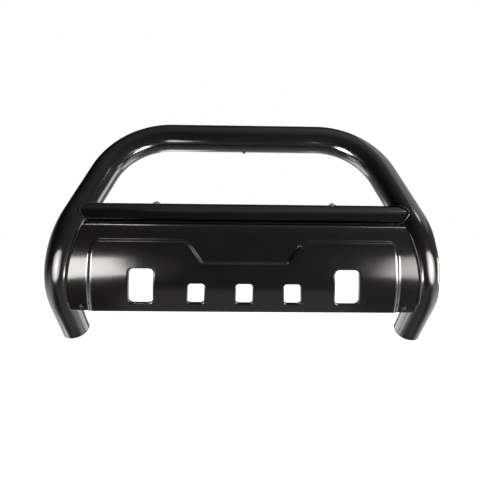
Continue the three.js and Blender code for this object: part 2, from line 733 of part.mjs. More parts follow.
function addSkidFixing(prefix, side) {
  const { seat, outward } = skidScrewSeat(side * SKID_SCREW_X);
  const at = (distance) => seat.clone().addScaledVector(outward, distance);
  const nutBack = -(TAB_SEAT + TAB_THICKNESS + GAP + M6.nutHeight);
  const length = TAB_SEAT + TAB_THICKNESS + M6.washerHeight + M6.nutHeight + THREAD_SHOWN;
  addFixing(`${prefix}_skid_washer`, washer(M6), BLACK_STEEL, at(GAP), outward);
  addFixing(`${prefix}_skid_screw`, buttonScrew(M6, length), BLACK_STEEL, at(M6.washerHeight + 2 * GAP), outward);
  addFixing(`${prefix}_skid_nut`, nut(M6.nut, M6.nutHeight, M6.hole), ZINC, at(nutBack), outward);
}

// Each bolt goes outwards through the bracket's wall and the ear, with its nut on the ear.
function addMountBolts(prefix, side) {
  const inward = AXIS_X.clone().multiplyScalar(-side);
  const gripLength = 2 * PLATE_STOCK + M12.washerHeight + M12.nutHeight + THREAD_SHOWN;
  for (const { name, y, z } of MOUNT_BOLTS) {
    const at = (x) => new THREE.Vector3(side * x, y, z);
    const washerBack = WALL_INNER_X - GAP;
    const headBack = washerBack - M12.washerHeight - GAP;
    const nutBack = EAR_OUTER_X + GAP + M12.nutHeight;
    addFixing(`${prefix}_${name}_washer`, washer(M12), ZINC, at(washerBack), inward);
    addFixing(`${prefix}_${name}_bolt`, hexBolt(M12, gripLength), ZINC, at(headBack), inward);
    addFixing(`${prefix}_${name}_nut`, nut(M12.head, M12.nutHeight, M12.hole), ZINC, at(nutBack), inward);
  }
}

addPiece('main_hoop', mainHoop(), COAT);
addPiece('cross_tube', crossTube(), COAT);
addPiece('skid_plate', skidPlate(), COAT);
addPiece('skid_plate_top_weld', topWeld(), COAT);
const plugSeat = new THREE.Vector3(0, CORNER.y, CORNER.z - HOOP_RADIUS);
addFixing('top_bar_plug', drainPlug(), PLASTIC, plugSeat, AXIS_Z.clone().negate());
for (const [prefix, side] of [['left', 1], ['right', -1]]) {
  addLegPieces(prefix, side);
  addFootCap(prefix, side);
  addLightMount(prefix, side);
  addSkidFixing(prefix, side);
  addMountBolts(prefix, side);
}

const centre = new THREE.Box3().setFromObject(guard, true).getCenter(new THREE.Vector3());
guard.position.copy(centre).negate();

export default guard;
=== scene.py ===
import math

import bmesh
import bpy
import numpy as np
from mathutils import Matrix, Vector

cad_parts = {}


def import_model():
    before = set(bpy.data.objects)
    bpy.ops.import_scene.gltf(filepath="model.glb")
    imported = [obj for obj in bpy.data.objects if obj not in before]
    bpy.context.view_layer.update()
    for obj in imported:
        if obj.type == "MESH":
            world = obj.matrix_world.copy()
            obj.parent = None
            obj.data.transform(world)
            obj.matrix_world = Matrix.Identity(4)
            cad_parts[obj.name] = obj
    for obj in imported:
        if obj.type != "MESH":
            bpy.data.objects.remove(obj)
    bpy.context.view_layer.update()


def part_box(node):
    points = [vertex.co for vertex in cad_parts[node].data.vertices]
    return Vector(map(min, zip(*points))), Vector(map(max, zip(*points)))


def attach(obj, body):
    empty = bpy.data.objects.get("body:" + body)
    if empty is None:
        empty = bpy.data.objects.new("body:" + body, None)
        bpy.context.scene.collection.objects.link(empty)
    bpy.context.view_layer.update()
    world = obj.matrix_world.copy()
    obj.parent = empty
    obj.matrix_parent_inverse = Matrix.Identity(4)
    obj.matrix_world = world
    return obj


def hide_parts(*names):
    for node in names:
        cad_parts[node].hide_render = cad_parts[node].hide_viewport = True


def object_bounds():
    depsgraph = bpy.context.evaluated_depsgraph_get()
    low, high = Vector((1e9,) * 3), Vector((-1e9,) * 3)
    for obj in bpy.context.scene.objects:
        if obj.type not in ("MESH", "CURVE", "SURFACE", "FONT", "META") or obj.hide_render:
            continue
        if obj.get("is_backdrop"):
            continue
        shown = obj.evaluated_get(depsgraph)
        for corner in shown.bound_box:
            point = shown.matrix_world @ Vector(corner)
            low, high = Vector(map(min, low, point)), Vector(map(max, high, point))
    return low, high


# Looks of a front grille guard. Shapes are worked out in millimetres from the same driving
# dimensions as the CAD: X across the vehicle, Y rearwards, Z up. piece() turns them into metres
# and moves them to the row frame. Bodies on both sides are built on the left, at +X, and piece()
# mirrors them.

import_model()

MM = 0.001

# ---- driving dimensions

HOOP_RADIUS = 38.1
HOOP_WALL = 2.5
FOOT = np.array([474.0, 142.0, -253.0])
KNEE = np.array([494.0, 0.0, -60.0])
CORNER = np.array([340.0, 168.0, 294.0])
KNEE_BEND = 220.0
CORNER_BEND = 195.0

CROSS_RADIUS = 25.4
CROSS_WALL = 2.0
CROSS_HEIGHT = 69.5
CROSS_FORWARD = 11.0

SHEET = 3.0
ROLL = 255.0
NOSE_Y = 12.5
NOSE_Z = -45.0
CURL = 12.0
FLANGE_REAR = 56.0
PLATE_BOTTOM = -189.5
INSIDE_LEG = 3.0
PLATE_SINK = 0.6

PANEL_RISE = 8.0
PANEL_TOP = -7.0
PANEL_TOP_HALF = 382.0
PANEL_BOTTOM_HALF = 398.0
PANEL_LOW_Z = -209.5
DIP_BOTTOM = -63.0
DIP_TOP_HALF = 151.0
DIP_BOTTOM_HALF = 110.0
PANEL_CORNER = 11.0
JOGGLE = 9.0
SIDE_JOGGLE = 17.0
JOGGLE_EASE = 30.0

CUTOUT_LOW_ANGLE = math.radians(27.4)
CUTOUT_RAKE = 0.07
LIP_DEPTH = 10.0
LIP_FILLET = 4.5
LIP_HOLLOW = 1.2
LIP_EASE = 0.4
LARGE_CUTOUT = (62.0, 95.0, 12.0)
SMALL_CUTOUT = (42.0, 56.0, 8.0)
LARGE_OFFSET = 266.0
SMALL_PITCH = 125.0
CUTOUTS = (
    (LARGE_CUTOUT, -LARGE_OFFSET), (SMALL_CUTOUT, -SMALL_PITCH), (SMALL_CUTOUT, 0.0),
    (SMALL_CUTOUT, SMALL_PITCH), (LARGE_CUTOUT, LARGE_OFFSET),
)
BLOCK_MARGIN = 9.0

BEAD = 3.5
BEAD_LIFT = 0.6
SEAM_FORWARD = 1.0
EAR_WELD_INSET = 9.0
TOP_BEAD = 3.8
TOP_BEAD_FORWARD = 13.5
TOP_BEAD_REACH = 7.0
SEAM_TOP = 24.0
SEAM_BOTTOM = -168.0

PLATE_STOCK = 6.0
GUSSET_STOCK = 5.0
EAR_X = 452.0
EAR_TOP = -74.0
EAR_BOTTOM = -188.0
EAR_REAR = 214.0
BRACKET_FRONT = 132.0
BRACKET_REAR = 300.0
BRACKET_INNER_X = 390.0
MOUNT_BOLTS = {"upper_mount": (156.0, -100.0), "lower_mount": (190.0, -158.0)}

SKID_SCREW_X = 426.0
SKID_SCREW_Z = -177.0
TAB_HALF = 15.0
TAB_REACH = 33.0
TAB_THICKNESS = 4.0
LIGHT_X = 232.0
CAP_FLANGE = 3.3
GAP = 0.3

# Across flats, then height
M12_HEX = (18.0, 7.5)
M12_NUT = (18.0, 10.5)
M6_NUT = (9.7, 6.0)
CHAMFER = 0.577

_, bracket_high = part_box("left_frame_bracket")
ORIGIN = np.array([0.0, bracket_high.y - BRACKET_REAR * MM, bracket_high.z - EAR_TOP * MM])

# ---- paths


def unit(v):
    return v / np.linalg.norm(v, axis=-1, keepdims=True)


def bend(before, vertex, after, radius, steps=40):
    """Points round a bend of a given radius, in the place of a sharp corner, in 2D or 3D."""
    u, v = unit(before - vertex), unit(after - vertex)
    half = math.acos(float(u @ v)) / 2
    centre = vertex + unit(u + v) * radius / math.sin(half)
    start = vertex + u * radius / math.tan(half) - centre
    end = vertex + v * radius / math.tan(half) - centre
    turn = math.pi - 2 * half
    s = np.linspace(0, 1, steps + 1)[:, None]
    return centre + (start * np.sin((1 - s) * turn) + end * np.sin(s * turn)) / math.sin(turn)


def lengths_along(points):
    """Length along a polyline at each of its points."""
    return np.r_[0, np.cumsum(np.linalg.norm(np.diff(points, axis=0), axis=1))]


def evenly(points, count, endpoint=True):
    """A number of points spaced evenly along a polyline."""
    lengths = lengths_along(points)
    at = np.linspace(0, lengths[-1], count, endpoint=endpoint)
    return np.stack([np.interp(at, lengths, axis) for axis in points.T], axis=1)


def resampled(points, spacing):
    """The same polyline with points at an even spacing."""
    return evenly(points, max(2, int(round(lengths_along(points)[-1] / spacing)) + 1))


top_middle = np.array([0.0, CORNER[1], CORNER[2]])
HALF_AXIS = np.vstack([
    FOOT,
    bend(FOOT, KNEE, CORNER, KNEE_BEND),
    bend(KNEE, CORNER, top_middle, CORNER_BEND),
])
HOOP_AXIS = np.vstack([HALF_AXIS, HALF_AXIS[::-1] * np.array([-1, 1, 1])])


def leg_axis_at(z):
    """X and Y of the left leg's axis at a height."""
    x, y, height = HALF_AXIS.T
    return np.interp(z, height, x), np.interp(z, height, y)


def distance_to_leg(points):
    """Distance from each point to the left leg's axis."""
    a, b = HALF_AXIS[:-1], HALF_AXIS[1:]
    ab = b - a
    rel = points[:, None, :] - a[None]
    t = np.clip((rel * ab).sum(-1) / (ab * ab).sum(-1), 0, 1)
    return np.linalg.norm(rel - t[..., None] * ab, axis=-1).min(axis=1)


def leg_surface(outside, inside, sink=0.0):
    """Where each way from outside the left leg to inside it reaches that depth under its surface."""
    low, high = outside.copy(), inside.copy()
    for _ in range(22):
        middle = (low + high) / 2
        out = distance_to_leg(middle) > HOOP_RADIUS - sink
        low[out], high[~out] = middle[out], middle[~out]
    return (low + high) / 2


def leg_beside(stop_x, y, z, sink=0.0):
    """Points of the left leg's inner side at y and z, looked for from LIGHT_X out to stop_x."""
    start = np.stack([np.full_like(z, LIGHT_X), y, z], axis=1)
    return leg_surface(start, np.stack([stop_x, y, z], axis=1), sink)


def leg_before(x, z, sink=0.0):
    """Points of the left leg's rear side at x and z, looked for from EAR_REAR forwards to its axis."""
    _, axis_y = leg_axis_at(z)
    across = np.full_like(z, x)
    start = np.stack([across, np.full_like(z, EAR_REAR), z], axis=1)
    return leg_surface(start, np.stack([across, axis_y, z], axis=1), sink)


def frames_along(points):
    """Tangent, side and up of a polyline at each of its points, without twist."""
    tangent = unit(np.gradient(points, axis=0))
    first = np.array([1.0, 0, 0]) if abs(tangent[0, 0]) < 0.9 else np.array([0, 0, 1.0])
    side = [unit(first - tangent[0] * (first @ tangent[0]))]
    for t in tangent[1:]:
        side.append(unit(side[-1] - t * (side[-1] @ t)))
    side = np.array(side)
    return tangent, side, np.cross(tangent, side)


# ---- meshes


def added(name, data):
    """A new object in the scene."""
    thing = bpy.data.objects.new(name, data)
    bpy.context.scene.collection.objects.link(thing)
    return thing


def rings_mesh(rings, loop=False):
    """Points and faces of a skin over rings of equal count, closed by end faces or into a loop."""
    count, sides = len(rings), len(rings[0])
    faces = []
    for i in range(count if loop else count - 1):
        a, b = i * sides, ((i + 1) % count) * sides
        for j in range(sides):
            k = (j + 1) % sides
            faces.append((a + j, a + k, b + k, b + j))
    if not loop:
        faces.append(tuple(reversed(range(sides))))
        faces.append(tuple(range((count - 1) * sides, count * sides)))
    return np.concatenate(rings), faces


def piece(name, points, faces, material, replaces, side=1, sharp=35.0, merge=0.0):
    """A closed mesh in place of CAD nodes, smooth except at edges sharper than an angle."""
    points = np.asarray(points) * np.array([side, 1, 1]) * MM + ORIGIN
    mesh = bpy.data.meshes.new(name)
    mesh.from_pydata(points.tolist(), [], faces)
    bm = bmesh.new()
    bm.from_mesh(mesh)
    if merge:
        bmesh.ops.remove_doubles(bm, verts=bm.verts, dist=merge)
    bmesh.ops.recalc_face_normals(bm, faces=bm.faces)
    limit = math.radians(sharp)
    for face in bm.faces:
        face.smooth = True
    for edge in bm.edges:
        if len(edge.link_faces) == 2 and edge.calc_face_angle(0.0) > limit:
            edge.smooth = False
    bm.to_mesh(mesh)
    bm.free()
    mesh.materials.append(material["material"])
    thing = added(name, mesh)
    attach(thing, "root")
    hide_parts(*replaces)
    return thing


def circle_ring(radius, height, sides, shape=None):
    """A ring round +Y at a height; shape(angle, radius) may change its radius by angle."""
    angle = np.linspace(0, 2 * math.pi, sides, endpoint=False)
    r = np.full(sides, float(radius)) if shape is None else shape(angle, radius)
    return np.stack([r * np.cos(angle), np.full(sides, float(height)), r * np.sin(angle)], axis=1)


def circles(profile, sides):
    """Rings round +Y from (radius, height) pairs."""
    return [circle_ring(radius, height, sides) for radius, height in profile]


def placed(points, seat, direction):
    """Points built round +Y, moved so that +Y looks along a direction from a seat."""
    turn = Vector((0, 1, 0)).rotation_difference(Vector(direction)).to_matrix()
    return np.asarray(points) @ np.array(turn).T + np.asarray(seat)


def tube_rings(axis, radius, sides, reverse=False):
    """Rings square to an axis. They run the other way for the inside of a tube."""
    _, side, up = frames_along(axis)
    angle = np.linspace(0, 2 * math.pi, sides, endpoint=False)
    rings = axis[:, None] + radius * (
        side[:, None] * np.cos(angle)[None, :, None] + up[:, None] * np.sin(angle)[None, :, None])
    return list(rings[::-1]) if reverse else list(rings)


# ---- materials


def add_node(tree, kind, inputs):
    """A new shader node. Each of its inputs is set to a value or linked to another node's output."""
    node = tree.nodes.new("ShaderNode" + kind)
    for name, value in inputs.items():
        if isinstance(value, bpy.types.NodeSocket):
            tree.links.new(value, node.inputs[name])
        else:
            node.inputs[name].default_value = value
    return node


def noise(m, scale, detail, stretch=None):
    """Noise fixed to the object. Its scale is in cells per metre, and stretch is a factor on each axis."""
    place = m["place"]
    if stretch:
        place = add_node(m["tree"], "Mapping", {"Vector": place, "Scale": stretch}).outputs["Vector"]
    inputs = {"Vector": place, "Scale": scale, "Detail": detail}
    return add_node(m["tree"], "TexNoise", inputs).outputs["Fac"]


def ramp(m, fac, low, high):
    """From one colour or plain value to another, over the middle of what noise gives."""
    node = add_node(m["tree"], "ValToRGB", {"Fac": fac})
    for element, position, value in zip(node.color_ramp.elements, (0.3, 0.7), (low, high)):
        element.position = position
        element.color = (*value, 1.0) if isinstance(value, tuple) else (value, value, value, 1.0)
    return node.outputs["Color"]


def bump(m, height, distance, strength, normal=None):
    """A surface raised by up to a distance, over another bump when its normal is given."""
    inputs = {"Height": height, "Distance": distance, "Strength": strength}
    if normal is not None:
        inputs["Normal"] = normal
    return add_node(m["tree"], "Bump", inputs).outputs["Normal"]


def mottled(name, slot, dark, light, smooth, rough, tone, gloss):
    """A material of uneven colour and roughness. Tone and gloss are the scale and detail of their noise."""
    material = bpy.data.materials.new(name)
    material.use_nodes = True
    tree = material.node_tree
    shader = tree.nodes["Principled BSDF"]
    place = tree.nodes.new("ShaderNodeTexCoord").outputs["Object"]
    m = {"material": material, "slot": slot, "tree": tree, "shader": shader, "place": place}
    tree.links.new(ramp(m, noise(m, *tone), dark, light), shader.inputs["Base Color"])
    tree.links.new(ramp(m, noise(m, *gloss), smooth, rough), shader.inputs["Roughness"])
    return m


def powder_coat(name, slot, dark, light, smooth, rough, peel, streaks=0.0):
    """Powder coat: faint mottling, uneven gloss and a fine orange-peel surface.

    Streaks are the upright polishing marks of a rolled sheet, showing through its coat.
    """
    m = mottled(name, slot, dark, light, smooth, rough, (9.0, 4.0), (14.0, 5.0))
    normal = bump(m, noise(m, 420.0, 2.0), 0.0004, peel)
    normal = bump(m, noise(m, 60.0, 1.0), 0.0012, peel * 0.5, normal)
    if streaks:
        normal = bump(m, noise(m, 260.0, 3.0, (1, 0.03, 0.03)), 0.0004, streaks, normal)
    m["tree"].links.new(normal, m["shader"].inputs["Normal"])
    return m


def grained(m, scale, detail, strength, metallic=0.0):
    """The same material with fine scratches or grain."""
    normal = bump(m, noise(m, scale, detail), 0.0003, strength)
    m["tree"].links.new(normal, m["shader"].inputs["Normal"])
    m["shader"].inputs["Metallic"].default_value = metallic
    return m


def metal(*look):
    """Plated steel with uneven tone and fine scratches."""
    return grained(mottled(*look, (120.0, 5.0), (300.0, 4.0)), 900.0, 3.0, 0.15, metallic=1.0)


def plastic(*look):
    """Moulded plastic with a fine spark-eroded grain."""
    return grained(mottled(*look, (80.0, 4.0), (200.0, 3.0)), 1500.0, 2.0, 0.35)


# Name, slot, darker and lighter colour, least and most roughness, and strength of the orange peel
GLOSS = powder_coat("gloss_powder_coat", "gloss_black_coat",
                    (0.0014, 0.0013, 0.0012), (0.0026, 0.0024, 0.0021), 0.12, 0.16, 0.05)
SHEET_GLOSS = powder_coat("sheet_gloss_powder_coat", "gloss_black_coat",
                          (0.0006, 0.0005, 0.0004), (0.0012, 0.0011, 0.0009), 0.15, 0.20, 0.05, streaks=0.10)
SATIN = powder_coat("satin_powder_coat", "satin_black_coat",
                    (0.012, 0.012, 0.0125), (0.020, 0.020, 0.021), 0.40, 0.52, 0.25)
BLACK_STEEL = metal("black_oxide_steel", "black_hardware",
                    (0.04, 0.04, 0.042), (0.09, 0.09, 0.095), 0.28, 0.42)
ZINC = metal("zinc_plate", "zinc_hardware",
             (0.48, 0.49, 0.51), (0.66, 0.67, 0.68), 0.24, 0.40)
PLASTIC = plastic("moulded_plastic", "black_plastic",
                  (0.012, 0.012, 0.012), (0.022, 0.022, 0.022), 0.5, 0.65)

# ---- hoop, caps and plug

HOOP_SIDES = 96


def main_hoop():
    """The bent tube, open inside from foot to foot."""
    axis = resampled(HOOP_AXIS, 8.0)
    outer = tube_rings(axis, HOOP_RADIUS, HOOP_SIDES)
    inner = tube_rings(axis, HOOP_RADIUS - HOOP_WALL, HOOP_SIDES, reverse=True)
    points, faces = rings_mesh(outer + inner, loop=True)
    return piece("hoop_tube", points, faces, GLOSS, ["main_hoop"])


def foot_cap(prefix, side):
    """A push-in cap: a sleeve with a lead-in, and a flange with a groove and a gate mark in its face."""
    bore = HOOP_RADIUS - HOOP_WALL - GAP
    sleeve = [(0.3, -1.0), (bore - 3.5, -1.0), (bore - 3.0, -1.6), (bore - 3.0, -13.5),
              (bore - 2.4, -14.0), (bore - 0.8, -14.0), (bore - 0.1, -12.5), (bore - 0.1, GAP)]
    flange = [(HOOP_RADIUS - 0.4, GAP), (HOOP_RADIUS, 0.6), (HOOP_RADIUS, 1.9),
              (HOOP_RADIUS - 0.5, CAP_FLANGE - 0.5), (HOOP_RADIUS - 1.6, CAP_FLANGE - 0.05)]
    groove = [(HOOP_RADIUS - 6, CAP_FLANGE), (HOOP_RADIUS - 6.6, CAP_FLANGE - 0.4),
              (HOOP_RADIUS - 7.6, CAP_FLANGE - 0.4), (HOOP_RADIUS - 8.2, CAP_FLANGE)]
    gate_mark = [(3.6, CAP_FLANGE), (2.9, CAP_FLANGE - 0.4), (0.3, CAP_FLANGE - 0.5)]
    points, faces = rings_mesh(circles(sleeve + flange + groove + gate_mark, 72))
    points = placed(points, FOOT, unit(FOOT - KNEE))
    name = f"{prefix}_foot_cap"
    return piece(name + "_moulding", points, faces, PLASTIC, [name], side)


def drain_plug():
    """A tapered stem in the drain hole, with a domed head under the bar."""
    stem = [(0.2, -7.0), (1.7, -7.0), (2.1, -6.6), (2.9, -4.6), (2.9, -0.2)]
    head = [(3.9, -0.2), (4.2, 0.2), (4.2, 1.2), (3.95, 2.6),
            (3.3, 3.6), (2.3, 4.2), (1.2, 4.35), (0.2, 4.4)]
    points, faces = rings_mesh(circles(stem + head, 40))
    seat = (0, CORNER[1], CORNER[2] - HOOP_RADIUS)
    points = placed(points, seat, (0, 0, -1))
    return piece("top_bar_plug_moulding", points, faces, PLASTIC, ["top_bar_plug"])


# ---- cross tube

cross_x, cross_leg_y = leg_axis_at(CROSS_HEIGHT)
CROSS_Y = float(cross_leg_y) - CROSS_FORWARD
CROSS_X = float(cross_x)
CROSS_SIDES = 96


def cross_rings(radius, stations):
    """Rings along the cross tube whose ends follow the legs' round surface."""
    angle = np.linspace(0, 2 * math.pi, CROSS_SIDES, endpoint=False)
    y, z = CROSS_Y + radius * np.cos(angle), CROSS_HEIGHT + radius * np.sin(angle)
    start = np.stack([np.full_like(y, LIGHT_X), y, z], axis=1)
    stop = np.stack([np.full_like(y, CROSS_X), y, z], axis=1)
    reach = leg_surface(start, stop, sink=1.0)[:, 0]
    return [np.stack([s * reach, y, z], axis=1) for s in stations]


def cross_tube():
    """The open tube between the legs."""
    stations = np.linspace(-1, 1, 61)
    outer = cross_rings(CROSS_RADIUS, stations)
    inner = cross_rings(CROSS_RADIUS - CROSS_WALL, stations[::-1])
    points, faces = rings_mesh(outer + inner, loop=True)
    return piece("cross_tube_coped", points, faces, GLOSS, ["cross_tube"])


# ---- skid plate

ROLL_Y = NOSE_Y + ROLL
FLANGE_TOP = CROSS_HEIGHT - CROSS_RADIUS - GAP
CURL_Z = FLANGE_TOP - CURL
CURL_ANGLE = math.asin((CURL_Z - NOSE_Z) / (ROLL - CURL))
CURL_Y = ROLL_Y - (ROLL - CURL) * math.cos(CURL_ANGLE)
ROLL_END = CURL_ANGLE * ROLL
CURL_END = ROLL_END + (math.pi / 2 - CURL_ANGLE) * CURL
FLANGE_END = CURL_END + FLANGE_REAR - CURL_Y


def sheet_point(x, station, offset):
    """A point in front of the sheet's front face. The station is the way up the sheet from its nose."""
    x, station, offset = np.broadcast_arrays(x, station, offset)
    roll = station / ROLL
    curl = CURL_ANGLE + (station - ROLL_END) / CURL
    y = ROLL_Y - (ROLL + offset) * np.cos(roll)
    z = NOSE_Z + (ROLL + offset) * np.sin(roll)
    on_curl = station > ROLL_END
    y = np.where(on_curl, CURL_Y - (CURL + offset) * np.cos(curl), y)
    z = np.where(on_curl, CURL_Z + (CURL + offset) * np.sin(curl), z)
    on_flange = station > CURL_END
    y = np.where(on_flange, CURL_Y + station - CURL_END, y)
    z = np.where(on_flange, FLANGE_TOP + offset, z)
    return np.stack([x, y, z], axis=-1)


def round_and(a, b, radius):
    """Distance inside both of two edges, with the corner between them rounded."""
    corner = np.hypot(np.maximum(radius - a, 0), np.maximum(radius - b, 0))
    return np.maximum(radius, np.minimum(a, b)) - corner


def inside_line(x, z, low, high):
    """Distance to the inner side of a slanted edge between two (x, z) points."""
    dx, dz = high[0] - low[0], high[1] - low[1]
    return ((low[0] - x) * dz - (low[1] - z) * dx) / math.hypot(dx, dz)


def panel_rise(x, z):
    """How far the sheet is pressed forwards at a point of the front view. Its side steps are wider."""
    x = np.abs(x)
    side = inside_line(x, z, (PANEL_BOTTOM_HALF, PANEL_LOW_Z), (PANEL_TOP_HALF, PANEL_TOP))
    body = round_and(side, PANEL_TOP - z, PANEL_CORNER)
    slope = inside_line(x, z, (DIP_BOTTOM_HALF, DIP_BOTTOM), (DIP_TOP_HALF, PANEL_TOP))
    dip = round_and(slope, z - DIP_BOTTOM, PANEL_CORNER)
    inside = round_and(body, -dip, PANEL_CORNER)
    below_top = np.clip((PANEL_TOP - z) / JOGGLE_EASE, 0, 1) * (x > DIP_TOP_HALF + 2 * JOGGLE_EASE)
    t = np.clip(1 + inside / (JOGGLE + (SIDE_JOGGLE - JOGGLE) * below_top), 0, 1)
    return PANEL_RISE * (0.5 - 0.5 * np.cos(math.pi * t))


def graded(spans):
    """Values over joined spans (start, end, cells)."""
    values = [np.linspace(a, b, n + 1)[:-1] for a, b, n in spans]
    return np.r_[np.concatenate(values), spans[-1][1]]


def cutout_tilt(cutout):
    """The angle below level that a cutout's middle faces."""
    return CUTOUT_LOW_ANGLE - math.asin(cutout[1] / 2 / (ROLL + PANEL_RISE))


def cutout_station(cutout, rise):
    """Station of a height above a cutout's middle, measured square to its prism."""
    return ROLL * (-cutout_tilt(cutout) + np.arcsin(rise / (ROLL + PANEL_RISE)))


def cutout_loop(cutout, across, grow, counts):
    """Points (x, rise) round a cutout's outline, from the middle of one corner to the next."""
    width, tall, corner = cutout
    lean = -np.sign(across) * CUTOUT_RAKE
    w, t, radius = width / 2 + grow, tall / 2 + grow, corner + grow
    corners = np.array([
        [across - w - lean * t, -t], [across + w - lean * t, -t],
        [across + w + lean * t, t], [across - w + lean * t, t],
    ])
    half_arc = 12
    arcs = [bend(corners[i - 1], corners[i], corners[(i + 1) % 4], radius, 2 * half_arc) for i in range(4)]
    loops = []
    for i in range(4):
        way = np.vstack([arcs[i][half_arc:], arcs[(i + 1) % 4][:half_arc + 1]])
        loops.append(evenly(way, counts[i], endpoint=False))
    return np.vstack(loops)


def block_edges(cutout, across):
    """Box in x and station round a cutout that its own mesh fills."""
    width, tall, _ = cutout
    margin = BLOCK_MARGIN / (ROLL + PANEL_RISE) * ROLL
    half = width / 2 + BLOCK_MARGIN
    low, high = cutout_station(cutout, -tall / 2) - margin, cutout_station(cutout, tall / 2) + margin
    return across - half, across + half, float(low), float(high)


# Where the grid's rows and columns close up: along the panel's side step and along its top step
SIDE_STEP = (366.0, 414.0)
PANEL_FOOT = ROLL * math.radians(-7.4)
TOP_STEP = (ROLL * math.radians(5.2), ROLL * math.radians(12.0))
FOOT_CELLS = 9
EDGE_CELLS = 9


def half_columns():
    """X of the grid's columns from the middle to the side step's end."""
    middle = block_edges(SMALL_CUTOUT, 0.0)
    small = block_edges(SMALL_CUTOUT, SMALL_PITCH)
    large = block_edges(LARGE_CUTOUT, LARGE_OFFSET)
    return graded([
        (0, middle[1], 12), (middle[1], small[0], 16), (small[0], small[1], 32), (small[1], large[0], 16),
        (large[0], large[1], 30), (large[1], SIDE_STEP[0], 14), (*SIDE_STEP, 38),
    ])


def row_stations():
    """Stations of the grid's rows from under the cutouts to the flange's end."""
    small = block_edges(SMALL_CUTOUT, SMALL_PITCH)
    large = block_edges(LARGE_CUTOUT, LARGE_OFFSET)
    return graded([
        (small[2], small[3], 30), (small[3], PANEL_FOOT, 12), (PANEL_FOOT, large[3], 8), (large[3], 0.0, 14),
        (0.0, TOP_STEP[0], 8), (*TOP_STEP, 24), (TOP_STEP[1], ROLL_END, 8), (ROLL_END, CURL_END, 14),
        (CURL_END, FLANGE_END, 6),
    ])


def half_widths(stations):
    """X of the sheet's end at each station: just under the leg's surface, inside the weld."""
    points = sheet_point(0.0, stations, 0.0)
    axis_x, _ = leg_axis_at(points[:, 2])
    return leg_beside(axis_x - INSIDE_LEG, points[:, 1], points[:, 2], sink=PLATE_SINK)[:, 0]


def full_row(half, width):
    """X of a whole row from its inner columns on one side and its half width."""
    outer = np.linspace(half[-1], width, EDGE_CELLS + 1)[1:]
    half = np.r_[half, outer]
    return np.r_[-half[:0:-1], half]


def plate_grid():
    """X and station of the grid's points. Its foot rows ease from the level edge to even stations."""
    half, stations = half_columns(), row_stations()
    rows = [full_row(half, width) for width in half_widths(stations)]
    bottom_station = ROLL * math.asin((PLATE_BOTTOM - NOSE_Z) / ROLL)
    bottom_x = full_row(half, half_widths(np.array([bottom_station]))[0])
    reach = ROLL + panel_rise(bottom_x, PLATE_BOTTOM)
    bottom = ROLL * np.arcsin((PLATE_BOTTOM - NOSE_Z) / reach)
    x, station = [], []
    for k in range(FOOT_CELLS):
        s = k / FOOT_CELLS
        x.append(bottom_x * (1 - s) + rows[0] * s)
        station.append(bottom * (1 - s) + stations[0] * s)
    for row, value in zip(rows, stations):
        x.append(row)
        station.append(np.full(len(row), value))
    return np.array(x), np.array(station)


def nearest(values, wanted):
    """Index of the value closest to the wanted one."""
    return int(np.argmin(np.abs(values - wanted)))


def rim_of(low_row, high_row, low_column, high_column):
    """Rows and columns of the grid points round a block, once round from its first corner."""
    rim = [(low_row, c) for c in range(low_column, high_column)]
    rim += [(r, high_column) for r in range(low_row, high_row)]
    rim += [(high_row, c) for c in range(high_column, low_column, -1)]
    rim += [(r, low_column) for r in range(high_row, low_row, -1)]
    return tuple(np.array(rim).T)


def lip_rings(cutout, across, counts, rim_x, rim_station):
    """Rings of a cutout's turned-in lip, on its front and on its back, from its end nearly to the rim."""
    tilt = cutout_tilt(cutout)
    inwards = np.array([0.0, math.cos(tilt), math.sin(tilt)])
    turns = np.radians(np.linspace(0, 90, 7))[:-1]

    def ring(grow, depth, offset=PANEL_RISE):
        loop = cutout_loop(cutout, across, grow, counts)
        return sheet_point(loop[:, 0], cutout_station(cutout, loop[:, 1]), offset) + inwards * depth

    def fillet(grow, radius, offset):
        return [ring(grow + radius * (1 - math.cos(t)), radius * (1 - math.sin(t)), offset) for t in turns]

    def towards_rim(grow, offset):
        loop = cutout_loop(cutout, across, grow, counts)
        x, station = loop[:, 0], cutout_station(cutout, loop[:, 1])
        return [sheet_point(x * (1 - s) + rim_x * s, station * (1 - s) + rim_station * s, offset)
                for s in (0.0, 0.25, 0.55)]

    front = [ring(LIP_EASE, LIP_DEPTH), ring(0.0, LIP_DEPTH - 0.5)]
    front += [ring(0.0, depth) for depth in np.linspace(LIP_DEPTH - 1.5, LIP_FILLET + 0.8, 4)]
    front += fillet(0.0, LIP_FILLET, PANEL_RISE)
    front += towards_rim(LIP_FILLET, PANEL_RISE)
    back = [ring(LIP_EASE, LIP_DEPTH), ring(SHEET - LIP_EASE, LIP_DEPTH)]
    back += [ring(SHEET, depth) for depth in np.linspace(LIP_DEPTH - 0.5, SHEET + LIP_HOLLOW + 0.5, 4)]
    back += fillet(SHEET, LIP_HOLLOW, PANEL_RISE - SHEET)
    back += towards_rim(SHEET + LIP_HOLLOW, PANEL_RISE - SHEET)
    return front, back


# Share of the way from the sheet's front to its back, and how far its edge stands out there
ROUND_EDGE = ((0.0, 0.0), (0.12, 0.35), (0.35, 0.55), (0.65, 0.55), (0.88, 0.35), (1.0, 0.0))


def edge_rings(front, back, below):
    """Rings round the sheet's outer edge, from its front to its back. Below leads down from its foot."""
    rows, columns = front.shape[:2]
    rim = rim_of(0, rows - 1, 0, columns - 1)
    row, column = rim
    outwards = np.zeros((len(row), 3))
    outwards[row == 0] += below[column[row == 0]]
    outwards[row == rows - 1] += (0, 1, 0)
    outwards[column == 0] += (-1, 0, 0)
    outwards[column == columns - 1] += (1, 0, 0)
    return [front[rim] * (1 - share) + back[rim] * share + outwards * bulge for share, bulge in ROUND_EDGE]


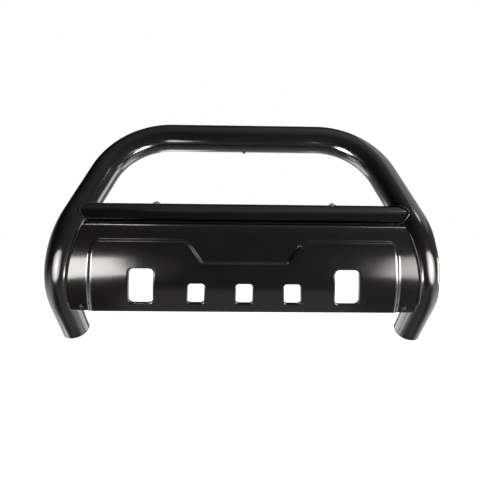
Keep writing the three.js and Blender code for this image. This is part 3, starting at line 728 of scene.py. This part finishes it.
def add_rings(points, faces, rings):
    """Adds the skin over rings of equal count to a mesh, without end faces."""
    base = sum(len(p) for p in points)
    sides = len(rings[0])
    points.extend(rings)
    for i in range(len(rings) - 1):
        a, b = base + i * sides, base + (i + 1) * sides
        for j in range(sides):
            k = (j + 1) % sides
            faces.append((a + j, a + k, b + k, b + j))


def add_sheet(points, faces, front, back, keep):
    """Adds the front and the back of the sheet to a mesh, where the grid's cells are kept."""
    rows, columns = front.shape[:2]
    base = sum(len(p) for p in points)
    points += [front.reshape(-1, 3), back.reshape(-1, 3)]
    for i, j in zip(*np.nonzero(keep)):
        a = base + i * columns + j
        quad = (a, a + 1, a + columns + 1, a + columns)
        faces.append(quad)
        faces.append(tuple(v + rows * columns for v in reversed(quad)))


def skid_plate():
    """The rolled sheet: a pressed panel, lipped cutouts, a curled top with its flange, and a round edge."""
    x, station = plate_grid()
    flat = sheet_point(x, station, 0.0)
    rise = np.where(station < ROLL_END, panel_rise(x, flat[..., 2]), 0.0)
    front = sheet_point(x, station, rise)
    back = sheet_point(x, station, rise - SHEET)
    keep = np.ones((len(x) - 1, len(x[0]) - 1), bool)
    points, faces = [], []
    for cutout, across in CUTOUTS:
        left, right, low, high = block_edges(cutout, across)
        c0, c1 = (nearest(x[FOOT_CELLS], edge) for edge in (left, right))
        r0, r1 = (FOOT_CELLS + nearest(station[FOOT_CELLS:, 0], edge) for edge in (low, high))
        keep[r0:r1, c0:c1] = False
        rim = rim_of(r0, r1, c0, c1)
        counts = (c1 - c0, r1 - r0, c1 - c0, r1 - r0)
        front_rings, back_rings = lip_rings(cutout, across, counts, x[rim], station[rim])
        add_rings(points, faces, [*front_rings, front[rim]])
        add_rings(points, faces, [*back_rings, back[rim]])
    add_sheet(points, faces, front, back, keep)
    below = sheet_point(x[0], station[0] - 1.0, rise[0]) - front[0]
    add_rings(points, faces, edge_rings(front, back, below))
    return piece("skid_plate_pressed", np.concatenate(points), faces, SHEET_GLOSS, ["skid_plate"],
                 sharp=50.0, merge=0.00002)


# ---- welds


BEAD_PITCH = 6.2
BEAD_LAG = 1.8
BEAD_SIDES = 20


def bead(name, path, side=1, radius=BEAD, depth=0.30):
    """A weld bead of overlapping crescents along a path, in place of a CAD node.

    The depth between crescents is a share of the radius. The lag bends each one back along the path.
    """
    fine = resampled(path, 0.55)
    lengths = lengths_along(fine)
    _, across, up = frames_along(fine)
    angle = np.linspace(0, 2 * math.pi, BEAD_SIDES, endpoint=False)
    total = lengths[-1]
    rings = []
    for i in range(len(fine)):
        s = lengths[i]
        phase = ((s + BEAD_LAG * np.cos(2 * angle)) / BEAD_PITCH) % 1.0
        ripple = 1 - depth * (1 - np.sqrt(np.clip(1 - (2 * phase - 1) ** 2, 0, 1)))
        end = min(s, total - s) / radius
        taper = math.sqrt(max(0.0, 1 - (1 - min(end, 1)) ** 2)) * 0.97 + 0.03
        wander = 1 + 0.04 * math.sin(s * 0.21) + 0.03 * math.sin(s * 0.083 + 1)
        r = radius * ripple * taper * wander
        ring = fine[i] + across[i] * (r * np.cos(angle))[:, None]
        rings.append(ring + up[i] * (r * np.sin(angle))[:, None])
    points, faces = rings_mesh(rings)
    return piece(name + "_bead", points, faces, GLOSS, [name], side, sharp=60)


def skid_plate_weld(prefix, side):
    """The long seam up the side of the sheet, just in front of its face."""
    z = np.linspace(SEAM_BOTTOM, SEAM_TOP, 60)
    y = ROLL_Y - np.sqrt((ROLL + SEAM_FORWARD) ** 2 - (z - NOSE_Z) ** 2)
    axis_x, _ = leg_axis_at(z)
    return bead(f"{prefix}_skid_plate_weld", leg_beside(axis_x, y, z), side, depth=0.55)


def cross_tube_weld(prefix, side):
    """The bead round the end of the cross tube. Its two ends meet behind the tube."""
    angle = np.radians(np.linspace(6, 354, 121))
    y = CROSS_Y + (CROSS_RADIUS + BEAD_LIFT) * np.cos(angle)
    z = CROSS_HEIGHT + (CROSS_RADIUS + BEAD_LIFT) * np.sin(angle)
    axis_x, _ = leg_axis_at(z)
    path = leg_beside(axis_x, y, z) + np.array([-BEAD_LIFT, 0, 0])
    return bead(f"{prefix}_cross_tube_weld", path, side)


def top_weld():
    """The smooth bead between the flange and the cross tube."""
    z = FLANGE_TOP + 1.0
    y = CROSS_Y - TOP_BEAD_FORWARD
    low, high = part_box("skid_plate_top_weld")
    ends = np.array([[low.x / MM - TOP_BEAD_REACH, y, z], [high.x / MM + TOP_BEAD_REACH, y, z]])
    return bead("skid_plate_top_weld", resampled(ends, 5.0), radius=TOP_BEAD, depth=0.02)


def ear_weld(prefix, side):
    """The bead along the outer face of the ear, where it meets the leg."""
    z = np.linspace(EAR_BOTTOM + EAR_WELD_INSET, EAR_TOP - EAR_WELD_INSET, 40)
    return bead(f"{prefix}_ear_weld", leg_before(EAR_X + PLATE_STOCK, z), side)


# ---- flat plates


CORNER_STEPS = 8


def rounded_polygon(corners, radius):
    """A 2D outline with each of its corners rounded."""
    corners = np.array(corners, float)
    count = len(corners)
    return np.vstack([bend(corners[i - 1], corners[i], corners[(i + 1) % count], radius, CORNER_STEPS)
                      for i in range(count)])


def slot_outline(centre, reach, radius, steps=16):
    """A slot round a centre, or a round hole when its reach is 0."""
    angle = np.linspace(-math.pi / 2, math.pi / 2, steps + 1)
    right = np.stack([reach + radius * np.cos(angle), radius * np.sin(angle)], 1)
    return np.vstack([right, -right]) + np.array(centre)


def flat_plate(outline, holes, thickness, ease=0.5, cuts=()):
    """Points and faces of a plate with eased edges, lying about height 0. Cuts are extra lines across it."""
    curve = bpy.data.curves.new("outline", "CURVE")
    curve.dimensions = "2D"
    curve.fill_mode = "BOTH"
    curve.extrude = thickness / 2 - ease
    curve.bevel_depth = ease
    curve.bevel_resolution = 2
    curve.offset = -ease
    for loop in [outline, *holes]:
        spline = curve.splines.new("POLY")
        spline.points.add(len(loop) - 1)
        for point, (a, b) in zip(spline.points, loop):
            point.co = (a, b, 0, 1)
        spline.use_cyclic_u = True
    thing = added("outline", curve)
    bpy.context.view_layer.update()
    mesh = bpy.data.meshes.new_from_object(thing.evaluated_get(bpy.context.evaluated_depsgraph_get()))
    bpy.data.objects.remove(thing)
    bpy.data.curves.remove(curve)
    bm = bmesh.new()
    bm.from_mesh(mesh)
    bmesh.ops.remove_doubles(bm, verts=bm.verts, dist=0.01)
    for at in cuts:
        geometry = [*bm.verts, *bm.edges, *bm.faces]
        bmesh.ops.bisect_plane(bm, geom=geometry, dist=0.001, plane_co=(at, 0, 0), plane_no=(1, 0, 0))
    bm.verts.index_update()
    points = np.array([v.co for v in bm.verts])
    faces = [tuple(v.index for v in f.verts) for f in bm.faces]
    bm.free()
    bpy.data.meshes.remove(mesh)
    return points, faces


M12_HOLE = 6.8
EAR_CORNER = 14.0
BRACKET_CORNER = 8.0
BRACKET_BEND = 5.0
FRAME_SLOT_INSET = 26.0
EAR_OUTER_X = EAR_X + PLATE_STOCK
BRACKET_OUTER_X = EAR_X - GAP
WALL_INNER_X = BRACKET_OUTER_X - PLATE_STOCK
FRAME_SLOT_X = (BRACKET_INNER_X + WALL_INNER_X) / 2


def mount_ear(prefix, side):
    """A plate with two bolt holes. Its front edge follows the leg, and its rear corners are round."""
    z = np.linspace(EAR_BOTTOM, EAR_TOP, 17)
    _, axis_y = leg_axis_at(z)
    edge = leg_before(EAR_X + PLATE_STOCK / 2, z, sink=HOOP_WALL)
    block = rounded_polygon([(axis_y[0], EAR_BOTTOM), (EAR_REAR, EAR_BOTTOM),
                             (EAR_REAR, EAR_TOP), (axis_y[-1], EAR_TOP)], EAR_CORNER)
    per_corner = CORNER_STEPS + 1
    rear = block[per_corner:3 * per_corner]
    outline = np.vstack([rear, edge[::-1, 1:]])
    holes = [slot_outline(centre, 0.0, M12_HOLE) for centre in MOUNT_BOLTS.values()]
    points, faces = flat_plate(outline, holes, PLATE_STOCK)
    points = np.stack([points[:, 2] + EAR_X + PLATE_STOCK / 2, points[:, 0], points[:, 1]], 1)
    name = f"{prefix}_mount_ear"
    return piece(name + "_plate", points, faces, GLOSS, [name], side, sharp=40)


def frame_bracket(prefix, side):
    """One strip of plate bent to an angle: a wall against the ear, and a face for the frame."""
    neutral = BRACKET_BEND + PLATE_STOCK / 2
    arc = neutral * math.pi / 2
    bend_x = WALL_INNER_X - BRACKET_BEND
    start = BRACKET_REAR - PLATE_STOCK - BRACKET_BEND - BRACKET_FRONT
    total = start + arc + bend_x - BRACKET_INNER_X
    outline = rounded_polygon([(0, EAR_BOTTOM), (total, EAR_BOTTOM), (total, EAR_TOP), (0, EAR_TOP)],
                              BRACKET_CORNER)
    holes = [slot_outline((y - BRACKET_FRONT, z), 7.0, M12_HOLE) for y, z in MOUNT_BOLTS.values()]
    slot_at = start + arc + bend_x - FRAME_SLOT_X
    for z in (EAR_TOP - FRAME_SLOT_INSET, EAR_BOTTOM + FRAME_SLOT_INSET):
        holes.append(slot_outline((slot_at, z), 8.0, M12_HOLE))
    cuts = start + arc * np.linspace(0, 1, 13)
    flat, faces = flat_plate(outline, holes, PLATE_STOCK, 0.6, cuts)
    along, height, up = flat[:, 0], flat[:, 2], flat[:, 1]
    turn = np.clip((along - start) / arc, 0, 1) * math.pi / 2
    radius = neutral + height
    past = np.maximum(along - start - arc, 0)
    x = bend_x + radius * np.cos(turn) - past
    y = np.minimum(along, start) + BRACKET_FRONT + radius * np.sin(turn)
    points = np.stack([x, y, up], 1)
    name = f"{prefix}_frame_bracket"
    return piece(name + "_bent", points, faces, SATIN, [name], side, sharp=40)


def bracket_gusset(prefix, side):
    """A rib in the bracket's angle, with its corners cut short."""
    x, y = WALL_INNER_X, BRACKET_REAR - PLATE_STOCK
    inner = BRACKET_INNER_X + 6
    front = y - 62
    nose = 5
    outline = [(x - nose, y), (inner, y), (inner, y - nose), (x - nose, front), (x, front), (x, y - nose)]
    points, faces = flat_plate(outline, [], GUSSET_STOCK)
    points = points + np.array([0, 0, (EAR_TOP + EAR_BOTTOM) / 2])
    name = f"{prefix}_bracket_gusset"
    return piece(name + "_rib", points, faces, SATIN, [name], side, sharp=40)


# ---- fasteners


def hexagonal(across_flats):
    """Keeps a turned ring inside a hexagon."""
    def shape(angle, radius):
        sector = (angle + math.pi / 6) % (math.pi / 3) - math.pi / 6
        return np.minimum(radius, across_flats / 2 / np.cos(sector))
    return shape


def threaded(profile, pitch, depth, sides=48):
    """Turned rings whose radius follows a screw thread."""
    rings = []
    angle = np.linspace(0, 2 * math.pi, sides, endpoint=False)
    for radius, height, share in profile:
        wave = np.abs(((height / pitch - angle / (2 * math.pi)) % 1.0) * 2 - 1)
        r = radius - depth * share * wave
        rings.append(np.stack([r * np.cos(angle), np.full(sides, float(height)), r * np.sin(angle)], 1))
    return rings


def socket_head(head, height, socket, depth, sides=60):
    """Rings of a button head with a hexagon socket, from its rim to the socket's floor."""
    rim = [(head - 0.25, 0.0), (head, 0.25), (head, 0.18 * height)]
    dome = []
    for t in np.linspace(0.1, 1, 9):
        radius = head - (head - socket * 0.72) * t ** 1.5
        dome.append((radius, height * (0.18 + 0.82 * math.sin(t * math.pi / 2))))
    rings = circles(rim + dome + [(socket * 0.64, height - 0.05)], sides)
    rings += [circle_ring(socket, height - below, sides, hexagonal(socket)) for below in (0.5, depth)]
    return rings + circles([(0.3, height - depth - 0.5)], sides)


def shank_rings(radius, length, pitch, thread_length, sides, depth):
    """Rings of a screw's shank from its pointed end up to its head, threaded part of the way."""
    rings = [(radius - depth - 0.8, -length, 0.0), (radius - depth, -length + 0.7, 0.0)]
    steps = int(thread_length / pitch * 6)
    for k in range(1, steps + 1):
        rings.append((radius, -length + 0.7 + k * pitch / 6, min(1.0, k / 4)))
    rings.append((radius, -length + 0.7 + thread_length + 0.6, 0.0))
    rings.append((radius, -0.05, 0.0))
    return threaded(rings, pitch, depth, sides)


def fastener(name, parts, seat, direction, material, side, sharp=30):
    """Several closed bodies, turned and placed as one piece in place of one CAD node."""
    all_points, all_faces = [], []
    for rings, loop in parts:
        points, faces = rings_mesh(rings, loop)
        base = sum(len(p) for p in all_points)
        all_points.append(points)
        all_faces += [tuple(base + v for v in f) for f in faces]
    points = placed(np.concatenate(all_points), seat, direction)
    return piece(name + "_detail", points, all_faces, material, [name], side, sharp=sharp)


def washer_rings(inner, outer, height, ease, sides=60):
    """Rings round the section of a washer or a sleeve, as a closed loop."""
    outside = [(outer - ease, 0.0), (outer, ease), (outer, height - ease), (outer - ease, height)]
    inside = [(inner + ease, height), (inner, height - ease), (inner, ease), (inner + ease, 0.0)]
    return circles(outside + inside, sides)


def chamfer_rings(flats, face, inwards, sides):
    """Rings of a hexagon's chamfer at a face, from the face out to the corners. Inwards is +1 or -1."""
    rings = []
    for t in np.linspace(0, 1, 5):
        spread = (flats / math.sqrt(3) - flats / 2) * t
        height = face + inwards * (CHAMFER * spread + 0.02)
        rings.append(circle_ring(flats / 2 + spread, height, sides, hexagonal(flats)))
    return rings


def nut_rings(flats, height, hole, sides=72):
    """A hexagon nut with its corners chamfered at both faces."""
    rings = circles([(flats / 2 - 0.3, 0.0)], sides)
    rings += chamfer_rings(flats, 0.0, 1, sides)
    rings += chamfer_rings(flats, height, -1, sides)[::-1]
    rings += circles([(flats / 2 - 0.3, height)], sides)
    bore = [(hole + 0.7, height), (hole, height - 0.7), (hole, 0.7), (hole + 0.7, 0.0)]
    return rings + circles(bore, sides)


def bolt_head_rings(flats, height, sides=72):
    """A hexagon head from its bearing face to the shallow dish on its top."""
    rings = circles([(1.0, 0.0), (flats / 2 - 0.4, 0.0), (flats / 2 - 0.4, 0.5)], sides)
    rings.append(circle_ring(flats / math.sqrt(3), 0.55, sides, hexagonal(flats)))
    rings += chamfer_rings(flats, height, -1, sides)[::-1]
    dish = [(flats / 2 - 0.6, height), (flats / 2 - 2.2, height - 0.35), (0.4, height - 0.35)]
    return rings + circles(dish, sides)


def skid_screw_seat():
    """The middle of the left skid screw on the sheet's face, and the way out from the sheet there."""
    angle = math.asin((SKID_SCREW_Z - NOSE_Z) / ROLL)
    outward = np.array([0.0, -math.cos(angle), math.sin(angle)])
    return np.array([SKID_SCREW_X, ROLL_Y, NOSE_Z]) + outward * ROLL, outward


TAB_SEAT = SHEET + GAP + TAB_HALF ** 2 / (2 * (ROLL - SHEET))


def skid_fixing(prefix, side):
    """The screw, washer and nut at a lower corner of the sheet, and the tab from the leg behind it."""
    seat, outward = skid_screw_seat()
    washer = washer_rings(3.2, 6.4, 1.5, 0.3)
    fastener(f"{prefix}_skid_washer", [(washer, True)], seat + outward * 0.05, outward, BLACK_STEEL, side)
    length = SHEET + TAB_THICKNESS + 1.5 + 6 + 5
    head = socket_head(5.3, 3.3, 4.0, 2.0)
    shank = shank_rings(3.0, length, 1.0, 12, 36, 0.3)
    fastener(f"{prefix}_skid_screw", [(head, False), (shank, False)], seat + outward * 1.6, outward,
             BLACK_STEEL, side)
    nut = nut_rings(*M6_NUT, 3.0)
    nut_back = -(TAB_SEAT + TAB_THICKNESS + 6.1)
    fastener(f"{prefix}_skid_nut", [(nut, True)], seat + outward * nut_back, outward, ZINC, side)
    tab = rounded_polygon([(-TAB_HALF, -TAB_HALF), (TAB_REACH, -TAB_HALF),
                           (TAB_REACH, TAB_HALF), (-TAB_HALF, TAB_HALF)], 5)
    flat, faces = flat_plate(tab, [slot_outline((0, 0), 0.0, 3.5)], TAB_THICKNESS)
    across = np.array([1.0, 0, 0])
    upward = np.cross(outward, across)
    middle = seat - outward * (TAB_SEAT + TAB_THICKNESS / 2)
    points = middle + flat[:, :1] * across - flat[:, 1:2] * upward - flat[:, 2:] * outward
    name = f"{prefix}_skid_tab"
    piece(name + "_plate", points, faces, GLOSS, [name], side, sharp=40)


def light_mount(prefix, side):
    """A rivet nut in the top of the cross tube, with the screw that keeps it for a light."""
    up = (0, 0, 1)
    seat = np.array([LIGHT_X, CROSS_Y, CROSS_HEIGHT + CROSS_RADIUS])
    flange = washer_rings(4.4, 10.0, 1.6, 0.35)
    barrel = [ring + np.array([0, -13.9, 0]) for ring in washer_rings(4.4, 6.4, 14.0, 0.3)]
    fastener(f"{prefix}_light_rivet_nut", [(flange, True), (barrel, True)], seat, up, ZINC, side)
    head = socket_head(6.6, 3.2, 4.6, 2.2)
    shank = shank_rings(4.0, 18, 1.25, 15, 40, 0.4)
    on_flange = seat + np.array([0, 0, 1.7])
    fastener(f"{prefix}_light_screw", [(head, False), (shank, False)], on_flange, up, BLACK_STEEL, side)


def mount_bolts(prefix, side):
    """The two bolts through bracket and ear, each with a washer inside and a nut outside."""
    inward = (-1, 0, 0)
    for name, (y, z) in MOUNT_BOLTS.items():
        on_wall = (WALL_INNER_X - 0.05, y, z)
        washer = washer_rings(6.6, 12.0, 2.5, 0.3)
        fastener(f"{prefix}_{name}_washer", [(washer, True)], on_wall, inward, ZINC, side)
        on_washer = (WALL_INNER_X - 2.6, y, z)
        head = bolt_head_rings(*M12_HEX)
        shank = shank_rings(6.0, 2 * PLATE_STOCK + 2.5 + M12_NUT[1] + 6, 1.75, 20, 48, 0.6)
        fastener(f"{prefix}_{name}_bolt", [(head, False), (shank, False)], on_washer, inward, ZINC, side)
        nut_end = (EAR_OUTER_X + M12_NUT[1] + 0.1, y, z)
        nut = nut_rings(*M12_NUT, 6.0)
        fastener(f"{prefix}_{name}_nut", [(nut, True)], nut_end, inward, ZINC, side)


# ---- assembly

hoop = main_hoop()
drain_plug()
tube = cross_tube()
plate = skid_plate()
top_seam = top_weld()
seams = []
tube_welds = []
for prefix, side in (("left", 1), ("right", -1)):
    foot_cap(prefix, side)
    seams.append(skid_plate_weld(prefix, side))
    tube_welds.append(cross_tube_weld(prefix, side))
    ear_weld(prefix, side)
    mount_ear(prefix, side)
    frame_bracket(prefix, side)
    bracket_gusset(prefix, side)
    skid_fixing(prefix, side)
    light_mount(prefix, side)
    mount_bolts(prefix, side)

# ---- stage, light and camera

FLOOR_DROP = 0.0005
FLOOR_REACH = 60.0
FLOOR_TONE = 0.9
FLOOR_EMISSION = 0.82
LIT_POINT = (0.0, 0.0, -0.05)
WARM = (1.0, 0.965, 0.92)

# What reflections see of the room. A pair is where a soft edge starts and ends on one axis of the
# unit vector that looks there: across (+ to the guard's left), rear or up.
ROOM_LOW = 0.17
ROOM_HIGH = 0.48
ROOM_HORIZON = (0.45, 0.9)
ROOM_SLOPE = 1.2
ROOM_REAR = (-0.1, 0.5)
ROOM_REAR_SHARE = 0.15
BACKDROP = 0.8
BACKDROP_EDGE = (-0.4, 0.6)
BACKDROP_TOP = (0.0, 0.5)
FLOOR_GLOW = 3.2
FLOOR_ASIDE = (0.42, 0.95)
FLOOR_UP = (-0.7, -0.15)

# In millimetres, like the shapes
CAMERA_PLACE = np.array([-32.2, -1086.5, 6.5])
CAMERA_YAW = math.radians(1.034)
CAMERA_PITCH = math.radians(-0.292)
CAMERA_ROLL = math.radians(0.555)
CAMERA_SENSOR = 36.0
CAMERA_LENS = 32.25


def floor():
    """A wide pale floor under the feet. Only the camera sees it. It glows, so the shade on it is faint."""
    low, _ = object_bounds()
    mesh = bpy.data.meshes.new("floor")
    z = low.z - FLOOR_DROP
    corners = [(-FLOOR_REACH, -FLOOR_REACH, z), (FLOOR_REACH, -FLOOR_REACH, z),
               (FLOOR_REACH, FLOOR_REACH, z), (-FLOOR_REACH, FLOOR_REACH, z)]
    mesh.from_pydata(corners, [], [(0, 1, 2, 3)])
    material = bpy.data.materials.new("floor")
    material.use_nodes = True
    inputs = material.node_tree.nodes["Principled BSDF"].inputs
    inputs["Base Color"].default_value = (FLOOR_TONE, FLOOR_TONE, FLOOR_TONE, 1)
    inputs["Roughness"].default_value = 0.9
    inputs["Specular IOR Level"].default_value = 0.0
    inputs["Emission Color"].default_value = (1, 1, 1, 1)
    inputs["Emission Strength"].default_value = FLOOR_EMISSION
    mesh.materials.append(material)
    thing = added("floor", mesh)
    thing.visible_glossy = False
    thing.visible_diffuse = False
    thing.visible_shadow = False
    thing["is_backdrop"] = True


def guard_point(vertex, side):
    """A point of the guard on one of its sides, in metres."""
    return ORIGIN + vertex * np.array([side, 1, 1]) * MM


def step_point(side):
    """The middle of the pressed panel's side step."""
    return guard_point(np.array([PANEL_BOTTOM_HALF, NOSE_Y, NOSE_Z]), side)


def soft_box(name, lateral, elevation, distance, width, height, brightness, lit=None, around=LIT_POINT,
             spread=180, shape="RECTANGLE"):
    """A panel of light. Lateral turns from straight ahead (0) to the guard's left side (90)."""
    a, e = math.radians(lateral), math.radians(elevation)
    away = Vector((math.sin(a) * math.cos(e), -math.cos(a) * math.cos(e), math.sin(e)))
    light = bpy.data.lights.new(name, "AREA")
    light.shape = shape
    light.size, light.size_y = width, height
    light.energy = 4 * width * height * brightness
    light.color = WARM
    light.spread = math.radians(spread)
    thing = added(name, light)
    thing.location = Vector(around) + away * distance
    thing.rotation_euler = (-away).to_track_quat("-Z", "Y").to_euler()
    thing.visible_camera = False
    if lit:
        thing.light_linking.receiver_collection = lit


def receivers(name, pieces, state):
    """Pieces that a panel's light is kept to (INCLUDE) or off (EXCLUDE), as flags do in a studio."""
    group = bpy.data.collections.new(name)
    for thing in pieces:
        group.objects.link(thing)
    for entry in group.collection_objects:
        entry.light_linking.link_state = state
    return group


def world():
    """White behind all that the camera sees. Reflections see a dim room, lighter above and to the left."""
    scene_world = bpy.data.worlds.new("studio")
    bpy.context.scene.world = scene_world
    scene_world.use_nodes = True
    tree = scene_world.node_tree

    def math_node(operation, *values):
        node = add_node(tree, "Math", dict(enumerate(values)))
        node.operation = operation
        return node.outputs["Value"]

    def eased(value, low, high, bottom, top):
        node = add_node(tree, "MapRange", {"Value": value, "From Min": low, "From Max": high,
                                           "To Min": bottom, "To Max": top})
        node.interpolation_type = "SMOOTHSTEP"
        return node.outputs["Result"]

    direction = tree.nodes.new("ShaderNodeTexCoord").outputs["Generated"]
    across, rear, up = add_node(tree, "SeparateXYZ", {0: direction}).outputs
    sideways = math_node("MULTIPLY_ADD", across, ROOM_SLOPE, 1.0)
    front = math_node("MULTIPLY", eased(up, *ROOM_HORIZON, ROOM_LOW, ROOM_HIGH), sideways)
    front = math_node("MULTIPLY", front, eased(rear, *ROOM_REAR, 1.0, ROOM_REAR_SHARE))
    behind = eased(rear, *BACKDROP_EDGE, 0.0, BACKDROP)
    backdrop = math_node("MULTIPLY", behind, eased(up, *BACKDROP_TOP, 1.0, 0.0))
    aside = eased(math_node("ABSOLUTE", across), *FLOOR_ASIDE, 0.0, FLOOR_GLOW)
    floor_glow = math_node("MULTIPLY", aside, eased(up, *FLOOR_UP, 1.0, 0.0))
    room = math_node("ADD", math_node("ADD", front, backdrop), floor_glow)
    seen = tree.nodes.new("ShaderNodeLightPath").outputs["Is Camera Ray"]
    background = tree.nodes["Background"]
    background.inputs["Color"].default_value = (1, 1, 1, 1)
    tree.links.new(math_node("MAXIMUM", seen, room), background.inputs["Strength"])


def camera():
    """A camera in front of the guard, a little to its right side, at the height of its middle."""
    place = CAMERA_PLACE * MM + ORIGIN
    heading = np.array([math.sin(CAMERA_YAW), math.cos(CAMERA_YAW), 0.0])
    forward = heading * math.cos(CAMERA_PITCH) + np.array([0, 0, math.sin(CAMERA_PITCH)])
    level = np.array([math.cos(CAMERA_YAW), -math.sin(CAMERA_YAW), 0.0])
    upright = np.cross(level, forward)
    right = math.cos(CAMERA_ROLL) * level + math.sin(CAMERA_ROLL) * upright
    up = math.cos(CAMERA_ROLL) * upright - math.sin(CAMERA_ROLL) * level
    data = bpy.data.cameras.new("camera")
    data.sensor_width = CAMERA_SENSOR
    data.lens = CAMERA_LENS
    thing = added("camera", data)
    matrix = np.eye(4)
    matrix[:3, 0], matrix[:3, 1], matrix[:3, 2], matrix[:3, 3] = right, up, -forward, place
    thing.matrix_world = Matrix(matrix.tolist())
    bpy.context.scene.camera = thing


floor()
world()
camera()
off_tubes = receivers("off_tubes", [hoop, tube, top_seam, *seams, *tube_welds], "EXCLUDE")
off_cross_tube = receivers("off_cross_tube", [tube], "EXCLUDE")
hoop_only = receivers("hoop_only", [hoop], "INCLUDE")
cross_tube_only = receivers("cross_tube_only", [tube], "INCLUDE")
plate_only = receivers("plate_only", [plate], "INCLUDE")
plate_and_left_welds = receivers("plate_and_left_welds", [plate, seams[0], tube_welds[0]], "INCLUDE")
edge_point = guard_point(np.array([0.0, CURL_Y, FLANGE_TOP]), 1)
left_knee, right_knee = guard_point(KNEE, 1), guard_point(KNEE, -1)

# Name, lateral and elevation in degrees, distance, width, height, and brightness where the backdrop's
# is 1. Then the pieces lit, the point that the panel faces, its spread in degrees and its shape.
soft_box("front_key", -44, -13, 0.98, 0.48, 0.32, 16.0, off_tubes)
soft_box("front_fill", 42, -14, 0.70, 0.60, 0.36, 2.2, off_tubes, step_point(1), 72)
soft_box("low_front", 0, -62, 1.60, 1.40, 1.10, 0.30, off_cross_tube)
soft_box("tube_sky", 22, 35, 1.60, 2.40, 1.10, 0.26, cross_tube_only)
soft_box("right_knee_panel", -12, -21, 0.50, 0.74, 0.38, 1.7, hoop_only, right_knee, 60, "ELLIPSE")
soft_box("left_knee_panel", 24, -17, 0.50, 0.68, 0.40, 2.0, hoop_only, left_knee, 60, "ELLIPSE")
soft_box("right_step_panel", -52, -10, 0.64, 0.42, 0.32, 6.0, plate_only, step_point(-1), 80)
soft_box("left_step_panel", 60, -8, 0.64, 0.60, 0.32, 6.0, plate_and_left_welds, step_point(1), 90)
soft_box("right_edge_strip", -43, 50, 1.59, 0.50, 0.09, 46.0, plate_only, edge_point)
soft_box("left_edge_strip", 50, 46, 1.69, 0.40, 0.14, 10.0, plate_only, edge_point)
soft_box("right_bend_panel", 54, -42, 1.10, 0.50, 0.34, 2.6, hoop_only, guard_point(CORNER, -1), 32)
soft_box("left_bend_panel", -43, -42, 1.10, 0.46, 0.34, 2.6, hoop_only, guard_point(CORNER, 1), 32)
soft_box("left_side", 85, -7, 1.43, 0.36, 0.36, 8.9)
soft_box("left_back", 115, -3, 1.59, 0.80, 0.56, 6.0)
soft_box("left_low_back", 138, -28, 1.53, 1.02, 0.62, 3.0)
soft_box("right_low_back", -148, -27, 1.49, 1.08, 0.80, 3.5)
soft_box("right_low", -106, -48, 1.55, 0.54, 0.40, 3.0)
soft_box("left_high", 91, 38, 1.59, 1.52, 1.00, 1.0)
soft_box("left_high_front", 50, 36, 1.67, 0.24, 0.24, 12.0)
bpy.context.scene.view_settings.view_transform = "Standard"
